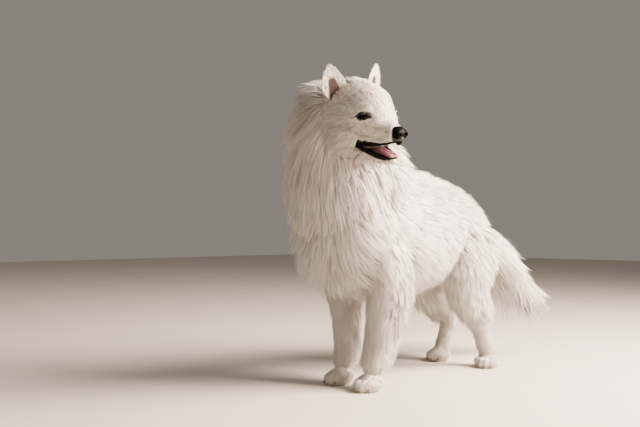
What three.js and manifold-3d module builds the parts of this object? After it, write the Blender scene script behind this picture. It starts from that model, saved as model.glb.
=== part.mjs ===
// A samoyed dog at life size, standing still with its head turned to its left and its mouth a little open.
// Lengths are in millimetres. +Z is up, -Y is the way the body faces, +X is the dog's left.
// The working frame has its origin on the floor midway between the front paws. At the end the whole dog is
// moved so that the origin is at the middle of the bottom of its bounding box.
import * as THREE from "three";
import { mergeVertices } from "three/addons/utils/BufferGeometryUtils.js";
import Module from "manifold-3d";

const wasm = await Module();
wasm.setup();

// Driving sizes. The skin, 550 high at the withers, is given in the tables below.
const GAP = 0.35; // clearance that touching pieces keep
const CORE_SHARE = 0.42; // the dense under-coat that the cores take, as a share of the coat's depth
// How far the tips of the coat stand off the skin.
const COAT = { torso: 46, neck: 58, foreleg: 22, hindleg: 30, tail: 62, head: 14 };
const core = (region) => COAT[region] * CORE_SHARE;
const LOCK_SINK = 10; // how deep a lock's root goes into its core
const LOCK_STEPS = 3; // lengths in a lock, from its root to its tip
const CAP_LENGTH = 14; // how far a limb's rounded end is taken to reach past its last section
const FLOOR_CLEAR = 22; // no lock's middle goes lower than this

// Colours from the photo, as the dry materials look in even light.
const material = (color, roughness) => new THREE.MeshStandardMaterial({ color, roughness, metalness: 0 });
const WHITE_COAT = material(0xf1e9dd, 0.9);
const BLACK_LEATHER = material(0x14100f, 0.45);
const DARK_EYE = material(0x140b07, 0.08);
const TONGUE_PINK = material(0xc0707c, 0.4);

const v3 = (x, y, z) => new THREE.Vector3(x, y, z);
const lerp = THREE.MathUtils.lerp;

// Joining and cutting
// A closed geometry becomes a solid whose faces point out.
function solidOf(geometry) {
  const bare = geometry.clone();
  bare.deleteAttribute("normal");
  bare.deleteAttribute("uv");
  const merged = mergeVertices(bare, 1e-3);
  const triVerts = new Uint32Array(merged.index.array);
  const build = () => new wasm.Manifold(
    new wasm.Mesh({ numProp: 3, vertProperties: merged.attributes.position.array, triVerts }));
  const made = build();
  if (made.volume() > 0) return made;
  for (let i = 0; i < triVerts.length; i += 3) {
    [triVerts[i + 1], triVerts[i + 2]] = [triVerts[i + 2], triVerts[i + 1]];
  }
  return build();
}

const join = (solids) => solids.reduce((sum, next) => sum.add(next));

const cut = (solid, ...cutters) => cutters.reduce((left, cutter) => left.subtract(cutter), solid);

// The largest closed surface, with any loose scrap dropped and any sealed hollow filled.
function largest(solid) {
  const pieces = solid.decompose();
  return pieces.sort((a, b) => b.volume() - a.volume())[0];
}

// An ellipsoid with half-sizes rx, ry, rz, turned by Euler angles and set at a centre.
function ellipsoid(centre, [rx, ry, rz], grow = 0, turn = [0, 0, 0], around = 12, along = 8) {
  const shape = new THREE.SphereGeometry(1, around, along);
  shape.scale(rx + grow, ry + grow, rz + grow);
  shape.applyMatrix4(new THREE.Matrix4().makeRotationFromEuler(new THREE.Euler(...turn)));
  shape.translate(...centre);
  return solidOf(shape);
}

// A limb is a smooth run of oval sections. Each row is x, y, z of the section's centre, its half-width and
// half-depth. The depth is measured along "facing", as far as that is square to the run.
class Limb {
  constructor(rows, facing, ends = 0.1) {
    this.path = new THREE.CatmullRomCurve3(rows.map((row) => v3(...row)), false, "centripetal");
    this.sizes = new THREE.CatmullRomCurve3(rows.map((row) => v3(row[3], row[4], 0)));
    this.facing = facing;
    this.ends = ends;
    this.frames = Array.from({ length: 41 }, (_, i) => this.frame(i / 40));
  }

  // The section's centre, directions and half-sizes at t, from 0 at the first row to 1 at the last.
  frame(t) {
    const centre = this.path.getPoint(t);
    const along = this.path.getTangent(t).normalize();
    const depth = this.facing.clone().addScaledVector(along, -this.facing.dot(along)).normalize();
    const width = new THREE.Vector3().crossVectors(along, depth);
    const size = this.sizes.getPoint(t);
    return { centre, along, depth, width, halfWidth: size.x, halfDepth: size.y };
  }

  // How full the section is near a rounded end.
  fullness(t) {
    const fromEnd = Math.min(t, 1 - t) / this.ends;
    return fromEnd >= 1 ? 1 : Math.sqrt(Math.max(0, 1 - (1 - fromEnd) ** 2));
  }

  // A point over the surface for hair, which runs straight on past the limb's ends.
  over(t, angle, height) {
    const f = this.frame(THREE.MathUtils.clamp(t, 0, 1));
    const past = (t - THREE.MathUtils.clamp(t, 0, 1)) * this.path.getLength();
    return f.centre
      .addScaledVector(f.depth, Math.cos(angle) * (f.halfDepth + height))
      .addScaledVector(f.width, Math.sin(angle) * (f.halfWidth + height))
      .addScaledVector(f.along, past);
  }

  // A point on the surface, grown outwards. Angle 0 is on the facing side, a quarter turn on the width side.
  at(t, angle, grow = 0) {
    const f = this.frame(t);
    const full = this.fullness(t);
    const endwards = (t < 0.5 ? -1 : 1) * (1 - full) * grow;
    return f.centre
      .addScaledVector(f.depth, Math.cos(angle) * (f.halfDepth + grow) * full)
      .addScaledVector(f.width, Math.sin(angle) * (f.halfWidth + grow) * full)
      .addScaledVector(f.along, endwards);
  }

  geometry(around, along, grow = 0) {
    const shape = new THREE.SphereGeometry(1, around, along);
    const uv = shape.attributes.uv;
    const position = shape.attributes.position;
    for (let i = 0; i < position.count; i++) {
      const even = 1 - uv.getY(i);
      const t = lerp(even, 0.5 - 0.5 * Math.cos(Math.PI * even), 0.6);
      const point = this.at(t, uv.getX(i) * 2 * Math.PI, grow);
      position.setXYZ(i, point.x, point.y, point.z);
    }
    return shape;
  }

  solid(around, along, grow = 0) {
    return solidOf(this.geometry(around, along, grow));
  }

  // About how far a point is outside the surface, and the way out from the nearest section.
  near(point) {
    let best = this.frames[0];
    for (const f of this.frames) {
      if (f.centre.distanceToSquared(point) < best.centre.distanceToSquared(point)) best = f;
    }
    const off = point.clone().sub(best.centre);
    const end = best === this.frames[0] || best === this.frames[40];
    const lengthwise = end ? off.dot(best.along) / CAP_LENGTH : 0;
    const across = off.dot(best.width) / best.halfWidth;
    const share = Math.hypot(across, off.dot(best.depth) / best.halfDepth, lengthwise);
    return { distance: off.length() * (1 - 1 / Math.max(share, 1e-3)), out: off.normalize() };
  }
}

// Body, from the breastbone to the rump.
const torsoLimb = new Limb([
  [0, -100, 400, 46, 58],
  [0, -60, 405, 80, 102],
  [0, 20, 415, 98, 134],
  [0, 130, 415, 104, 132],
  [0, 250, 416, 96, 124],
  [0, 350, 420, 80, 102],
  [0, 440, 408, 74, 88],
  [0, 515, 386, 64, 74],
  [0, 570, 368, 44, 50],
], v3(0, 0, 1), 0.09);

// Neck, from deep in the shoulders up to the back of the skull.
const neckLimb = new Limb([
  [0, 10, 440, 84, 92],
  [0, -35, 520, 84, 92],
  [8, -72, 600, 76, 80],
  [26, -95, 665, 70, 72],
  [54, -103, 712, 62, 62],
  [74, -106, 742, 52, 52],
], v3(0, -1, 0.2), 0.12);

// Tail bone and its muscle, hanging behind and a little to the left.
const tailLimb = new Limb([
  [0, 545, 425, 20, 22],
  [8, 615, 390, 17, 18],
  [30, 685, 325, 13, 14],
  [58, 748, 250, 9, 10],
  [74, 785, 205, 5, 6],
], v3(0, 1, 1), 0.08);

// Legs, from the hip or shoulder down to the pastern. A hind leg is parted at the hock, where it bends.
const HOCK_HEIGHT = 158;
const legLimbs = {
  foreleg_left: new Limb([
    [66, 10, 395, 38, 60],
    [84, 38, 300, 33, 48],
    [74, 38, 205, 27, 32],
    [61, 32, 115, 22, 25],
    [58, 22, 45, 21, 22],
  ], v3(0, -1, 0), 0.07),
  foreleg_right: new Limb([
    [-66, 14, 395, 38, 60],
    [-84, 44, 300, 33, 48],
    [-74, 48, 205, 27, 32],
    [-61, 42, 115, 22, 25],
    [-58, 32, 45, 21, 22],
  ], v3(0, -1, 0), 0.07),
  hindleg_left: new Limb([
    [54, 470, 410, 42, 84],
    [76, 430, 335, 40, 80],
    [80, 405, 262, 33, 56],
    [70, 448, 195, 25, 36],
    [64, 486, 140, 20, 25],
    [72, 500, 85, 18, 19],
    [82, 512, 38, 19, 20],
  ], v3(0, -1, 0.2), 0.06),
  hindleg_right: new Limb([
    [-54, 470, 410, 42, 84],
    [-78, 430, 335, 40, 80],
    [-84, 405, 265, 33, 56],
    [-78, 462, 198, 25, 36],
    [-72, 522, 140, 20, 25],
    [-78, 522, 85, 18, 19],
    [-84, 512, 38, 19, 20],
  ], v3(0, -1, 0.2), 0.06),
};
const legCoat = (name) => core(name.slice(0, name.indexOf("_")));

// The cores that the locks grow from.
const torsoCore = (grow = 0) => torsoLimb.solid(16, 11, core("torso") + grow);
const neckCore = (grow = 0) => neckLimb.solid(14, 7, core("neck") + grow);
const tailCore = (grow = 0) => tailLimb.solid(8, 8, core("tail") * 0.75 + grow);
const legCore = (name, grow = 0) => legLimbs[name].solid(10, 11, legCoat(name) + grow);
const belowHock = (grow = 0) => {
  const slab = new THREE.BoxGeometry(600, 1000, HOCK_HEIGHT + grow);
  slab.translate(0, 400, (HOCK_HEIGHT + grow) / 2);
  return solidOf(slab);
};

// Locks
// The same draw each time, so that every lock stays where it is.
let seed = 7;
function vary(amount) {
  seed = (seed * 16807) % 2147483647;
  return (seed / 2147483647 - 0.5) * 2 * amount;
}

// A lock is a flat wedge of hair that bends along the coat's lie and tapers to a tip.
// "line" holds its middle at each step and "outs" the way out of the coat there.
function lockSolid({ line, outs, width, thick }, grow = 0) {
  const shape = new THREE.ConeGeometry(1, 1, 3, LOCK_STEPS);
  const position = shape.attributes.position;
  for (let i = 0; i < position.count; i++) {
    const share = position.getY(i) + 0.5;
    const step = Math.round(share * LOCK_STEPS);
    const before = line[Math.max(step - 1, 0)];
    const after = line[Math.min(step + 1, LOCK_STEPS)];
    const along = after.clone().sub(before).normalize();
    const out = outs[step].clone().addScaledVector(along, -outs[step].dot(along)).normalize();
    const side = new THREE.Vector3().crossVectors(along, out);
    const radius = Math.hypot(position.getX(i), position.getZ(i));
    const spread = radius < 1e-6 ? 0 : 1;
    const full = 1.25 * (0.6 + 1.3 * share) * (1 - share) ** 0.6;
    const turn = Math.atan2(position.getX(i), position.getZ(i));
    const point = line[step].clone()
      .addScaledVector(side, Math.sin(turn) * spread * (width * 0.5 * full + grow * 4))
      .addScaledVector(out, Math.cos(turn) * spread * (thick * full + grow * 4));
    if (share > 0.999) point.addScaledVector(along, grow * 4);
    position.setXYZ(i, point.x, point.y, point.z);
  }
  return solidOf(shape);
}

// One lock on a limb: where its root is, how far it runs along and around, and its size.
// "clear" lists limbs with the height that the lock keeps above each of them.
function lockOn(limb, coreDepth, fullDepth, place, clear = [], carry = null) {
  const { t, angle, along, around, width, thick, droop = 0, curl = 0 } = place;
  const line = [];
  const outs = [];
  for (let step = 0; step <= LOCK_STEPS; step++) {
    const share = step / LOCK_STEPS;
    const rise = lerp(-LOCK_SINK, fullDepth - coreDepth, share ** 0.75);
    const turn = angle + around * share + curl * Math.sin(Math.PI * share);
    const point = limb.over(t + along * share, turn, coreDepth + rise);
    const out = limb.over(t + along * share, turn, coreDepth + rise + 1).sub(point).normalize();
    point.z -= droop * share * share;
    if (carry) {
      point.applyMatrix4(carry);
      out.transformDirection(carry);
    }
    for (const [other, height] of step ? clear : []) {
      const near = other.near(point);
      const short = height + thick * 0.6 - near.distance;
      if (short > 0) point.addScaledVector(near.out, short);
    }
    point.z = Math.max(point.z, FLOOR_CLEAR);
    line.push(point);
    outs.push(out);
  }
  return { line, outs, width, thick };
}

const TURN = 2 * Math.PI;

// Each row of locks on a limb: its place along, the angles it spans, how many locks, and how they run.
function rowsOf(limb, coreDepth, fullDepth, rows, clear, carry) {
  return rows.flatMap(({ t, from, to, count, ...lie }) => Array.from({ length: count }, (_, i) => {
    const angle = lerp(from, to, count > 1 ? i / (count - 1) : 0.5) + vary(0.05);
    const size = 1 + vary(0.14);
    const behind = Math.max(0, -Math.cos(angle)) ** 2;
    return lockOn(limb, coreDepth, fullDepth * lerp(lie.side ?? 1, lie.depth ?? 1, lie.side ? behind : 1), {
      t: t + vary(0.012),
      angle,
      along: lie.along * size,
      around: (lie.sweep ?? 0) * Math.sin(angle) + vary(0.08),
      width: lie.width * (1 + vary(0.12)),
      thick: lie.thick,
      droop: (lie.droop ?? 0) * size,
      curl: vary(0.07),
    }, clear, carry);
  }));
}

// Paws: a heel pad and four arched toes with a claw each, on a flat sole at floor level.
const PAW = { length: 86, width: 62, height: 46, toeLength: 24, toeWidth: 12.5, toeHeight: 19 };
const PAW_PLACES = {
  paw_front_left: { at: [57, 0], turn: 0.12 },
  paw_front_right: { at: [-57, 8], turn: -0.1 },
  paw_hind_left: { at: [84, 502], turn: 0.3 },
  paw_hind_right: { at: [-85, 490], turn: -0.08 },
};
const TOES = [-1.5, -0.5, 0.5, 1.5].map((place) => ({
  x: place * PAW.width * 0.225,
  y: -PAW.length * (Math.abs(place) < 1 ? 0.24 : 0.12),
  turn: -place * 0.14,
}));

function pawSolid({ at: [x, y], turn }, grow = 0) {
  const heel = new THREE.SphereGeometry(1, 8, 6);
  heel.scale(PAW.width * 0.44 + grow, PAW.length * 0.37 + grow, PAW.height * 0.62 + grow);
  heel.translate(0, PAW.length * 0.14, PAW.height * 0.42);
  const pieces = [heel];
  for (const toe of TOES) {
    const pad = new THREE.SphereGeometry(1, 6, 5);
    pad.scale(PAW.toeWidth + grow, PAW.toeLength + grow, PAW.toeHeight + grow);
    pad.rotateZ(toe.turn);
    pad.translate(toe.x, toe.y, PAW.toeHeight * 0.86);
    const claw = new THREE.ConeGeometry(3 + grow, 14 + grow, 4, 1);
    claw.rotateX(Math.PI * 1.14);
    claw.rotateZ(toe.turn);
    claw.translate(toe.x * 1.06, toe.y - PAW.toeLength * 0.98, 10);
    pieces.push(pad, claw);
  }
  const underFloor = new THREE.BoxGeometry(300, 300, 100);
  underFloor.translate(0, 0, -50);
  const place = new THREE.Matrix4().makeRotationZ(turn).setPosition(x, y, 0);
  const paw = join(pieces.map((piece) => solidOf(piece.applyMatrix4(place))));
  return cut(paw, solidOf(underFloor.applyMatrix4(place)));
}

// Head. It is modelled level in a frame of its own, with the origin at the nose tip, and then turned.
const HEAD = { nose: [270, -111, 623], turnLeft: 84.7, noseDown: 13.8, tilt: 9.2 };
const headGroup = new THREE.Group();
headGroup.position.set(...HEAD.nose);
const radians = THREE.MathUtils.degToRad;
headGroup.rotation.set(radians(HEAD.noseDown), radians(-HEAD.tilt), radians(HEAD.turnLeft), "ZXY");
headGroup.updateMatrixWorld(true);

// Each row is y back from the nose tip, top, bottom and half-width of the upper head, over its short coat.
const SKULL = [
  [12, 8, -18, 14],
  [26, 15, -23, 21],
  [46, 24, -29, 27],
  [70, 38, -33, 34],
  [95, 63, -35, 47],
  [125, 88, -43, 61],
  [160, 99, -56, 66],
  [200, 90, -58, 66],
  [232, 66, -40, 50],
];
const skullRows = SKULL.map(([y, top, bottom, half]) => [0, y, (top + bottom) / 2, half, (top - bottom) / 2]);
const skullLimb = new Limb(skullRows, v3(0, 0, 1), 0.06);
const skullCore = (grow = 0) => skullLimb.solid(18, 14, grow);

// Each row is y, z, half-width and half-height of the lower jaw, which hangs open.
const JAW = [
  [36, -68, 12, 7],
  [58, -70, 19, 10],
  [90, -64, 28, 13],
  [122, -54, 38, 17],
  [158, -44, 44, 24],
];
const jawLimb = new Limb(JAW.map(([y, z, half, high]) => [0, y, z, half, high]), v3(0, 0, 1), 0.1);

// The rims of the lips, as half-width, y and z from the front to the corner of the mouth.
const UPPER_LIP = [[0, 17, -19], [14, 25, -22], [23, 42, -28], [31, 68, -32], [42, 102, -28], [50, 130, -32]];
const LOWER_LIP = [[0, 34, -62], [12, 41, -63], [21, 58, -62], [31, 88, -54], [42, 114, -44], [49, 130, -36]];

function lipSolid(rows, radius, grow = 0) {
  const left = rows.slice(1).reverse().map(([x, y, z]) => [x, y, z, radius, radius]);
  const right = rows.map(([x, y, z]) => [-x, y, z, radius, radius]);
  return new Limb([...left, ...right], v3(0, 0, 1), 0.03).solid(5, 14, grow);
}

const NOSE = { half: 18.5, deep: 19, high: 15, nostril: 5 };
function noseSolid(grow = 0) {
  const pad = ellipsoid([0, 21, -3], [NOSE.half, NOSE.deep, NOSE.high], grow, [0.15, 0, 0], 12, 8);
  if (grow) return pad;
  const nostrils = [-1, 1].map((side) =>
    ellipsoid([side * 9.5, 5.5, -1], [NOSE.nostril, 7, 3.6], 0, [0, side * 0.5, side * 0.35], 6, 5));
  const slits = [-1, 1].map((side) =>
    ellipsoid([side * 16, 11, -4], [5, 6, 1.4], 0, [0, side * 0.5, 0], 6, 4));
  const groove = ellipsoid([0, 1, -10], [0.9, 5, 11], 0, [0.2, 0, 0], 4, 5);
  return largest(cut(pad, ...nostrils, ...slits, groove));
}

const EYE = { radius: 14, x: 35, y: 105, z: 30 };
const eyeSolid = (side, grow = 0) =>
  ellipsoid([side * EYE.x, EYE.y, EYE.z], [EYE.radius, EYE.radius, EYE.radius], grow, [0, 0, 0], 12, 8);

// The lids are a shell over the eyeball with an almond opening that slopes up and out.
const LID = { shell: 5, half: 17, open: 7, slope: 0.3, splay: 0.72 };
function lidShell(side) {
  const r = EYE.radius + LID.shell;
  return ellipsoid([side * (EYE.x + 0.4), EYE.y, EYE.z], [r, r, r * 0.92], 0, [0, 0, 0], 10, 7);
}
function lidOpening(side) {
  const almond = new THREE.Shape();
  almond.moveTo(-LID.half, 0);
  almond.quadraticCurveTo(0, LID.open * 2.1, LID.half, 0);
  almond.quadraticCurveTo(0, -LID.open * 1.7, -LID.half, 0);
  const prism = new THREE.ExtrudeGeometry(almond, { depth: 40, bevelEnabled: false, curveSegments: 4 });
  prism.rotateZ(side * LID.slope);
  prism.rotateX(Math.PI / 2);
  prism.rotateZ(side * LID.splay);
  prism.translate(side * EYE.x, EYE.y, EYE.z);
  return solidOf(prism);
}

// Each ear is a thick rounded triangle with a cup that faces forwards and out.
const EAR = { base: [52, 172, 40], tip: [74, 188, 144], half: 37, thick: 17, splay: 0.45, cupOut: 14 };
function earFrame(side) {
  const base = v3(side * EAR.base[0], EAR.base[1], EAR.base[2]);
  const tip = v3(side * EAR.tip[0], EAR.tip[1], EAR.tip[2]);
  const up = tip.clone().sub(base);
  const facing = v3(side * Math.sin(EAR.splay), -Math.cos(EAR.splay), 0);
  return { base, tip, up, facing };
}
function earOuter(side, grow = 0) {
  const { base, up, facing } = earFrame(side);
  const rows = [[0, 0.5, 0.9], [0.28, 0.98, 1.05], [0.52, 0.86, 0.9], [0.77, 0.54, 0.65], [0.96, 0.2, 0.4]];
  const limb = new Limb(rows.map(([share, wide, thick]) => {
    const p = base.clone().addScaledVector(up, share);
    return [p.x, p.y, p.z, EAR.half * wide, EAR.thick * thick];
  }), facing, 0.08);
  return limb.solid(12, 8, grow);
}
function earCup(side) {
  const { base, up, facing } = earFrame(side);
  const rows = [[0.08, 0.5, 0.9], [0.32, 0.66, 1.1], [0.6, 0.54, 0.85], [0.86, 0.24, 0.45]];
  const limb = new Limb(rows.map(([share, wide, deep]) => {
    const p = base.clone().addScaledVector(up, share).addScaledVector(facing, EAR.thick * 0.85);
    p.x += side * EAR.cupOut * (1 - share);
    return [p.x, p.y, p.z, EAR.half * wide, EAR.thick * deep];
  }), facing, 0.14);
  return limb.solid(8, 6);
}

// Tongue: a flat pad that lies in the lower jaw with its tip at the front teeth.
const tongueLimb = new Limb([
  [0, 124, -46, 16, 6],
  [0, 92, -52, 19, 6],
  [0, 62, -57, 18, 5.5],
  [0, 40, -59, 15, 4.5],
  [0, 30, -61, 11, 4],
], v3(0, 0, 1), 0.1);

// Teeth: cones rooted in the gum, as x, y, length, radius. Upper ones point down and lower ones up.
const UPPER_TEETH = [
  [15, 38, 14, 3.4], [4, 26, 6, 2.4], [10, 29, 7, 2.4], [20, 58, 8, 3.2], [24, 74, 9, 3.6],
];
const LOWER_TEETH = [
  [12.5, 48, 12, 3], [3.5, 41, 5, 2.2], [8, 43, 5, 2.2], [18, 66, 6, 3], [22, 82, 7, 3.4],
];
function teeth(rows, gum, pointing) {
  return rows.flatMap(([x, y, length, radius]) => [-1, 1].map((side) => {
    const tooth = new THREE.ConeGeometry(radius, length + 8, 5, 1);
    if (pointing < 0) tooth.rotateX(-Math.PI / 2);
    else tooth.rotateX(Math.PI / 2);
    tooth.translate(side * x, y, gum(y) + pointing * (length - 8) / 2);
    return solidOf(tooth);
  }));
}

// A solid of the head's frame, carried into the dog's frame.
const inDogFrame = (solid) => solid.transform(headGroup.matrixWorld.toArray());

// Assembly
const group = new THREE.Group();
group.add(headGroup);
const meshOf = (solid) => {
  const found = solid.getMesh();
  const geometry = new THREE.BufferGeometry();
  const n = found.numProp;
  const points = new Float32Array(found.numVert * 3);
  for (let i = 0; i < found.numVert; i++) {
    points.set(found.vertProperties.subarray(i * n, i * n + 3), i * 3);
  }
  geometry.setAttribute("position", new THREE.BufferAttribute(points, 3));
  geometry.setIndex(new THREE.BufferAttribute(new Uint32Array(found.triVerts), 1));
  return geometry;
};
// Looking for loose scraps twice also drops those that hold on by a single point.
function addNode(name, solid, finish, parent = group) {
  const mesh = new THREE.Mesh(meshOf(largest(solidOf(meshOf(largest(solid))))), finish);
  mesh.name = name;
  parent.add(mesh);
  return mesh;
}

// The head's nodes, in the head's frame.
const mouthRoom = ellipsoid([0, 84, -47], [25, 62, 17], 0, [-0.14, 0, 0], 10, 7);
const headSolid = (() => {
  let head = join([skullCore(), lidShell(1), lidShell(-1), lipSolid(UPPER_LIP, 3.4)]);
  head = cut(head, mouthRoom, earCup(1), earCup(-1));
  head = join([head, ...teeth(UPPER_TEETH, (y) => -20 - Math.min(y, 46) * 0.14, -1)]);
  head = cut(head, lidOpening(1), lidOpening(-1));
  return largest(cut(head, eyeSolid(1, GAP), eyeSolid(-1, GAP), noseSolid(GAP)));
})();
const jawSolid = (() => {
  const lipped = join([jawLimb.solid(12, 8, 2), lipSolid(LOWER_LIP, 3.2)]);
  const tray = cut(lipped, mouthRoom, tongueLimb.solid(10, 7, GAP));
  const withTeeth = join([tray, ...teeth(LOWER_TEETH, (y) => -64 + (y - 40) * 0.06, 1)]);
  return largest(cut(withTeeth, skullCore(GAP), lipSolid(UPPER_LIP, 3.4, GAP), tongueLimb.solid(10, 7, GAP)));
})();

addNode("lower_jaw", jawSolid, WHITE_COAT, headGroup);
addNode("nose", noseSolid(), BLACK_LEATHER, headGroup);
addNode("tongue", cut(tongueLimb.solid(10, 7), skullCore(GAP)), TONGUE_PINK, headGroup);
for (const [side, word] of [[1, "left"], [-1, "right"]]) {
  addNode(`eye_${word}`, eyeSolid(side), DARK_EYE, headGroup);
  addNode(`ear_${word}`, cut(earOuter(side), earCup(side), skullCore(GAP)), WHITE_COAT, headGroup);
}

// The body's nodes, in the dog's frame. The coat of each lies over the next one back.
const besideSkull = [jawLimb.solid(12, 8, 2 + GAP), earOuter(1, GAP), earOuter(-1, GAP)];
const headKeepOut = [skullCore(GAP), ...besideSkull].map(inDogFrame);
const headBeds = besideSkull.map((bed) => inDogFrame(cut(bed, skullCore())));

const torsoBed = [torsoLimb, core("torso") + 3];
const tailBed = [tailLimb, core("tail") * 0.75 + 3];
const legBeds = Object.entries(legLimbs).map(([name, limb]) => [limb, legCoat(name) + 3]);

const tailLocks = rowsOf(tailLimb, core("tail") * 0.75, COAT.tail, [
  { t: 0.16, from: 0, to: TURN * 0.86, count: 6, along: 0.42,
      width: 44, thick: 10, depth: 0.95, side: 0.7, droop: 12 },
  { t: 0.4, from: 0.4, to: TURN * 0.93, count: 5, along: 0.42,
      width: 46, thick: 10, depth: 1.1, side: 0.75, droop: 20 },
  { t: 0.62, from: 0.2, to: TURN * 0.88, count: 5, along: 0.4,
      width: 42, thick: 9, depth: 1.05, side: 0.72, droop: 20 },
  { t: 0.82, from: 0, to: TURN * 0.8, count: 4, along: 0.26,
      width: 34, thick: 9, depth: 0.7, side: 0.55, droop: 16 },
], [torsoBed]);

const legLocks = Object.fromEntries(Object.entries(legLimbs).map(([name, limb]) => {
  const rows = name.startsWith("fore") ? [
    { t: 0.3, from: Math.PI - 0.9, to: Math.PI + 0.9, count: 3, along: 0.26,
      width: 34, thick: 9, depth: 2, side: 1, droop: 4 },
    { t: 0.47, from: Math.PI - 0.7, to: Math.PI + 0.7, count: 3, along: 0.24,
      width: 32, thick: 9, depth: 2.1, side: 1, droop: 4 },
    { t: 0.62, from: Math.PI - 0.4, to: Math.PI + 0.4, count: 2, along: 0.2,
      width: 28, thick: 8, depth: 1.6, droop: 4 },
  ] : [
    { t: 0.16, from: Math.PI - 1.2, to: Math.PI + 1.2, count: 3, along: 0.2,
      width: 52, thick: 11, depth: 1.7, side: 0.7, droop: 10 },
    { t: 0.3, from: Math.PI - 1.1, to: Math.PI + 1.1, count: 3, along: 0.19,
      width: 48, thick: 10, depth: 1.9, side: 0.7, droop: 12 },
    { t: 0.44, from: Math.PI - 0.7, to: Math.PI + 0.7, count: 3, along: 0.18,
      width: 34, thick: 9, depth: 1.7, side: 0.8, droop: 8 },
  ];
  return [name, rowsOf(limb, legCoat(name), COAT[name.slice(0, name.indexOf("_"))], rows, [torsoBed])];
}));

const torsoLocks = rowsOf(torsoLimb, core("torso"), COAT.torso, [
  { t: 0.09, from: 1.1, to: TURN - 1.1, count: 7, along: 0.2,
      width: 72, thick: 13, sweep: 0.35, droop: 12 },
  { t: 0.24, from: 0, to: TURN * 0.89, count: 9, along: 0.2, width: 72, thick: 13, sweep: 0.4, droop: 8 },
  { t: 0.39, from: 0.35, to: TURN * 0.95, count: 9, along: 0.2,
      width: 72, thick: 13, sweep: 0.4, droop: 8 },
  { t: 0.54, from: 0, to: TURN * 0.89, count: 9, along: 0.2, width: 70, thick: 13, sweep: 0.4, droop: 8 },
  { t: 0.68, from: 0.35, to: TURN * 0.95, count: 8, along: 0.19,
      width: 66, thick: 13, sweep: 0.35, droop: 12 },
  { t: 0.8, from: 0, to: TURN * 0.88, count: 7, along: 0.18,
      width: 62, thick: 12, sweep: 0.25, droop: 20, depth: 0.9 },
  { t: 0.9, from: 0.4, to: TURN * 0.94, count: 6, along: 0.15,
      width: 54, thick: 12, sweep: 0.15, droop: 30, depth: 0.8 },
], [tailBed, ...legBeds]);

const neckLocks = rowsOf(neckLimb, core("neck"), COAT.neck, [
  { t: 0.28, from: 0.2, to: TURN * 0.92, count: 9, along: -0.26, width: 66, thick: 13, droop: 14 },
  { t: 0.44, from: 0.5, to: TURN * 0.98, count: 9, along: -0.32, width: 64, thick: 13, droop: 12 },
  { t: 0.61, from: 0, to: TURN * 0.89, count: 9, along: -0.32, width: 62, thick: 13, droop: 10 },
  { t: 0.77, from: 0.3, to: TURN * 0.94, count: 9, along: -0.3, width: 56, thick: 13, droop: 10 },
  { t: 0.92, from: 0, to: TURN * 0.9, count: 9, along: -0.26, width: 50, thick: 12, droop: 8, depth: 1.05 },
], [torsoBed]);

const headLocks = [1, -1].flatMap((side) => rowsOf(skullLimb, 0, COAT.head, [
  { t: 0.6, from: side * 1.55, to: side * 2.5, count: 3, along: 0.22, width: 34, thick: 8, sweep: 0.25 },
  { t: 0.74, from: side * 1.4, to: side * 2.3, count: 2, along: 0.18, width: 38, thick: 8, sweep: 0.2 },
], [[neckLimb, core("neck") + 3]], headGroup.matrixWorld));

// A node is its core and its locks. Its locks are cut clear of the nodes that the coat lies over.
const coated = (coreSolid, locks, beds) =>
  largest(join([coreSolid, ...locks.map((one) => cut(lockSolid(one), ...beds))]));
const grownLocks = (locks) => locks.map((one) => lockSolid(one, GAP));

const tailNode = coated(cut(tailCore(), torsoCore(GAP)), tailLocks, [torsoCore(GAP)]);
const tailGrown = cut(join([tailCore(GAP), ...grownLocks(tailLocks)]), torsoCore());
addNode("tail", tailNode, WHITE_COAT);
const bedsOfTorso = [tailGrown];
for (const [leg, paw] of [
  ["foreleg_left", "paw_front_left"], ["foreleg_right", "paw_front_right"],
  ["hindleg_left", "paw_hind_left"], ["hindleg_right", "paw_hind_right"],
]) {
  const keepOut = [torsoCore(GAP), pawSolid(PAW_PLACES[paw], GAP), tailGrown];
  let bare = cut(legCore(leg), ...keepOut);
  const beds = [...keepOut];
  if (leg.startsWith("hind")) {
    addNode(leg.replace("hindleg", "hock"), bare.intersect(belowHock()), WHITE_COAT);
    bare = bare.subtract(belowHock(GAP));
    beds.push(legCore(leg, GAP).intersect(belowHock(GAP)));
  }
  addNode(leg, coated(bare, legLocks[leg], beds), WHITE_COAT);
  addNode(paw, pawSolid(PAW_PLACES[paw]), WHITE_COAT);
  bedsOfTorso.push(cut(join([legCore(leg, GAP), ...grownLocks(legLocks[leg])]), torsoCore()));
}
bedsOfTorso.push(cut(neckCore(GAP), torsoCore()));
addNode("torso", coated(torsoCore(), torsoLocks, bedsOfTorso), WHITE_COAT);
const torsoGrown = join([torsoCore(GAP), ...grownLocks(torsoLocks)]);
const neckBare = cut(neckCore(), torsoCore(GAP), ...headKeepOut);
addNode("neck", coated(neckBare, neckLocks, [torsoGrown, ...headKeepOut]), WHITE_COAT);
const neckGrown = cut(join([neckCore(GAP), ...grownLocks(neckLocks)]), inDogFrame(skullCore()));
const headWhole = coated(inDogFrame(headSolid), headLocks, [neckGrown, torsoGrown, ...headBeds]);
const backToHead = headGroup.matrixWorld.clone().invert().toArray();
addNode("head", headWhole.transform(backToHead), WHITE_COAT, headGroup);

// The origin goes to the middle of the bottom of the dog's box.
const box = new THREE.Box3().setFromObject(group, true);
group.position.set(-(box.min.x + box.max.x) / 2, -(box.min.y + box.max.y) / 2, -box.min.z);

export default group;
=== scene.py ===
import math

import bmesh
import bpy
import numpy as np
from mathutils import Euler, Matrix, Vector
from mathutils.kdtree import KDTree


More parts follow.
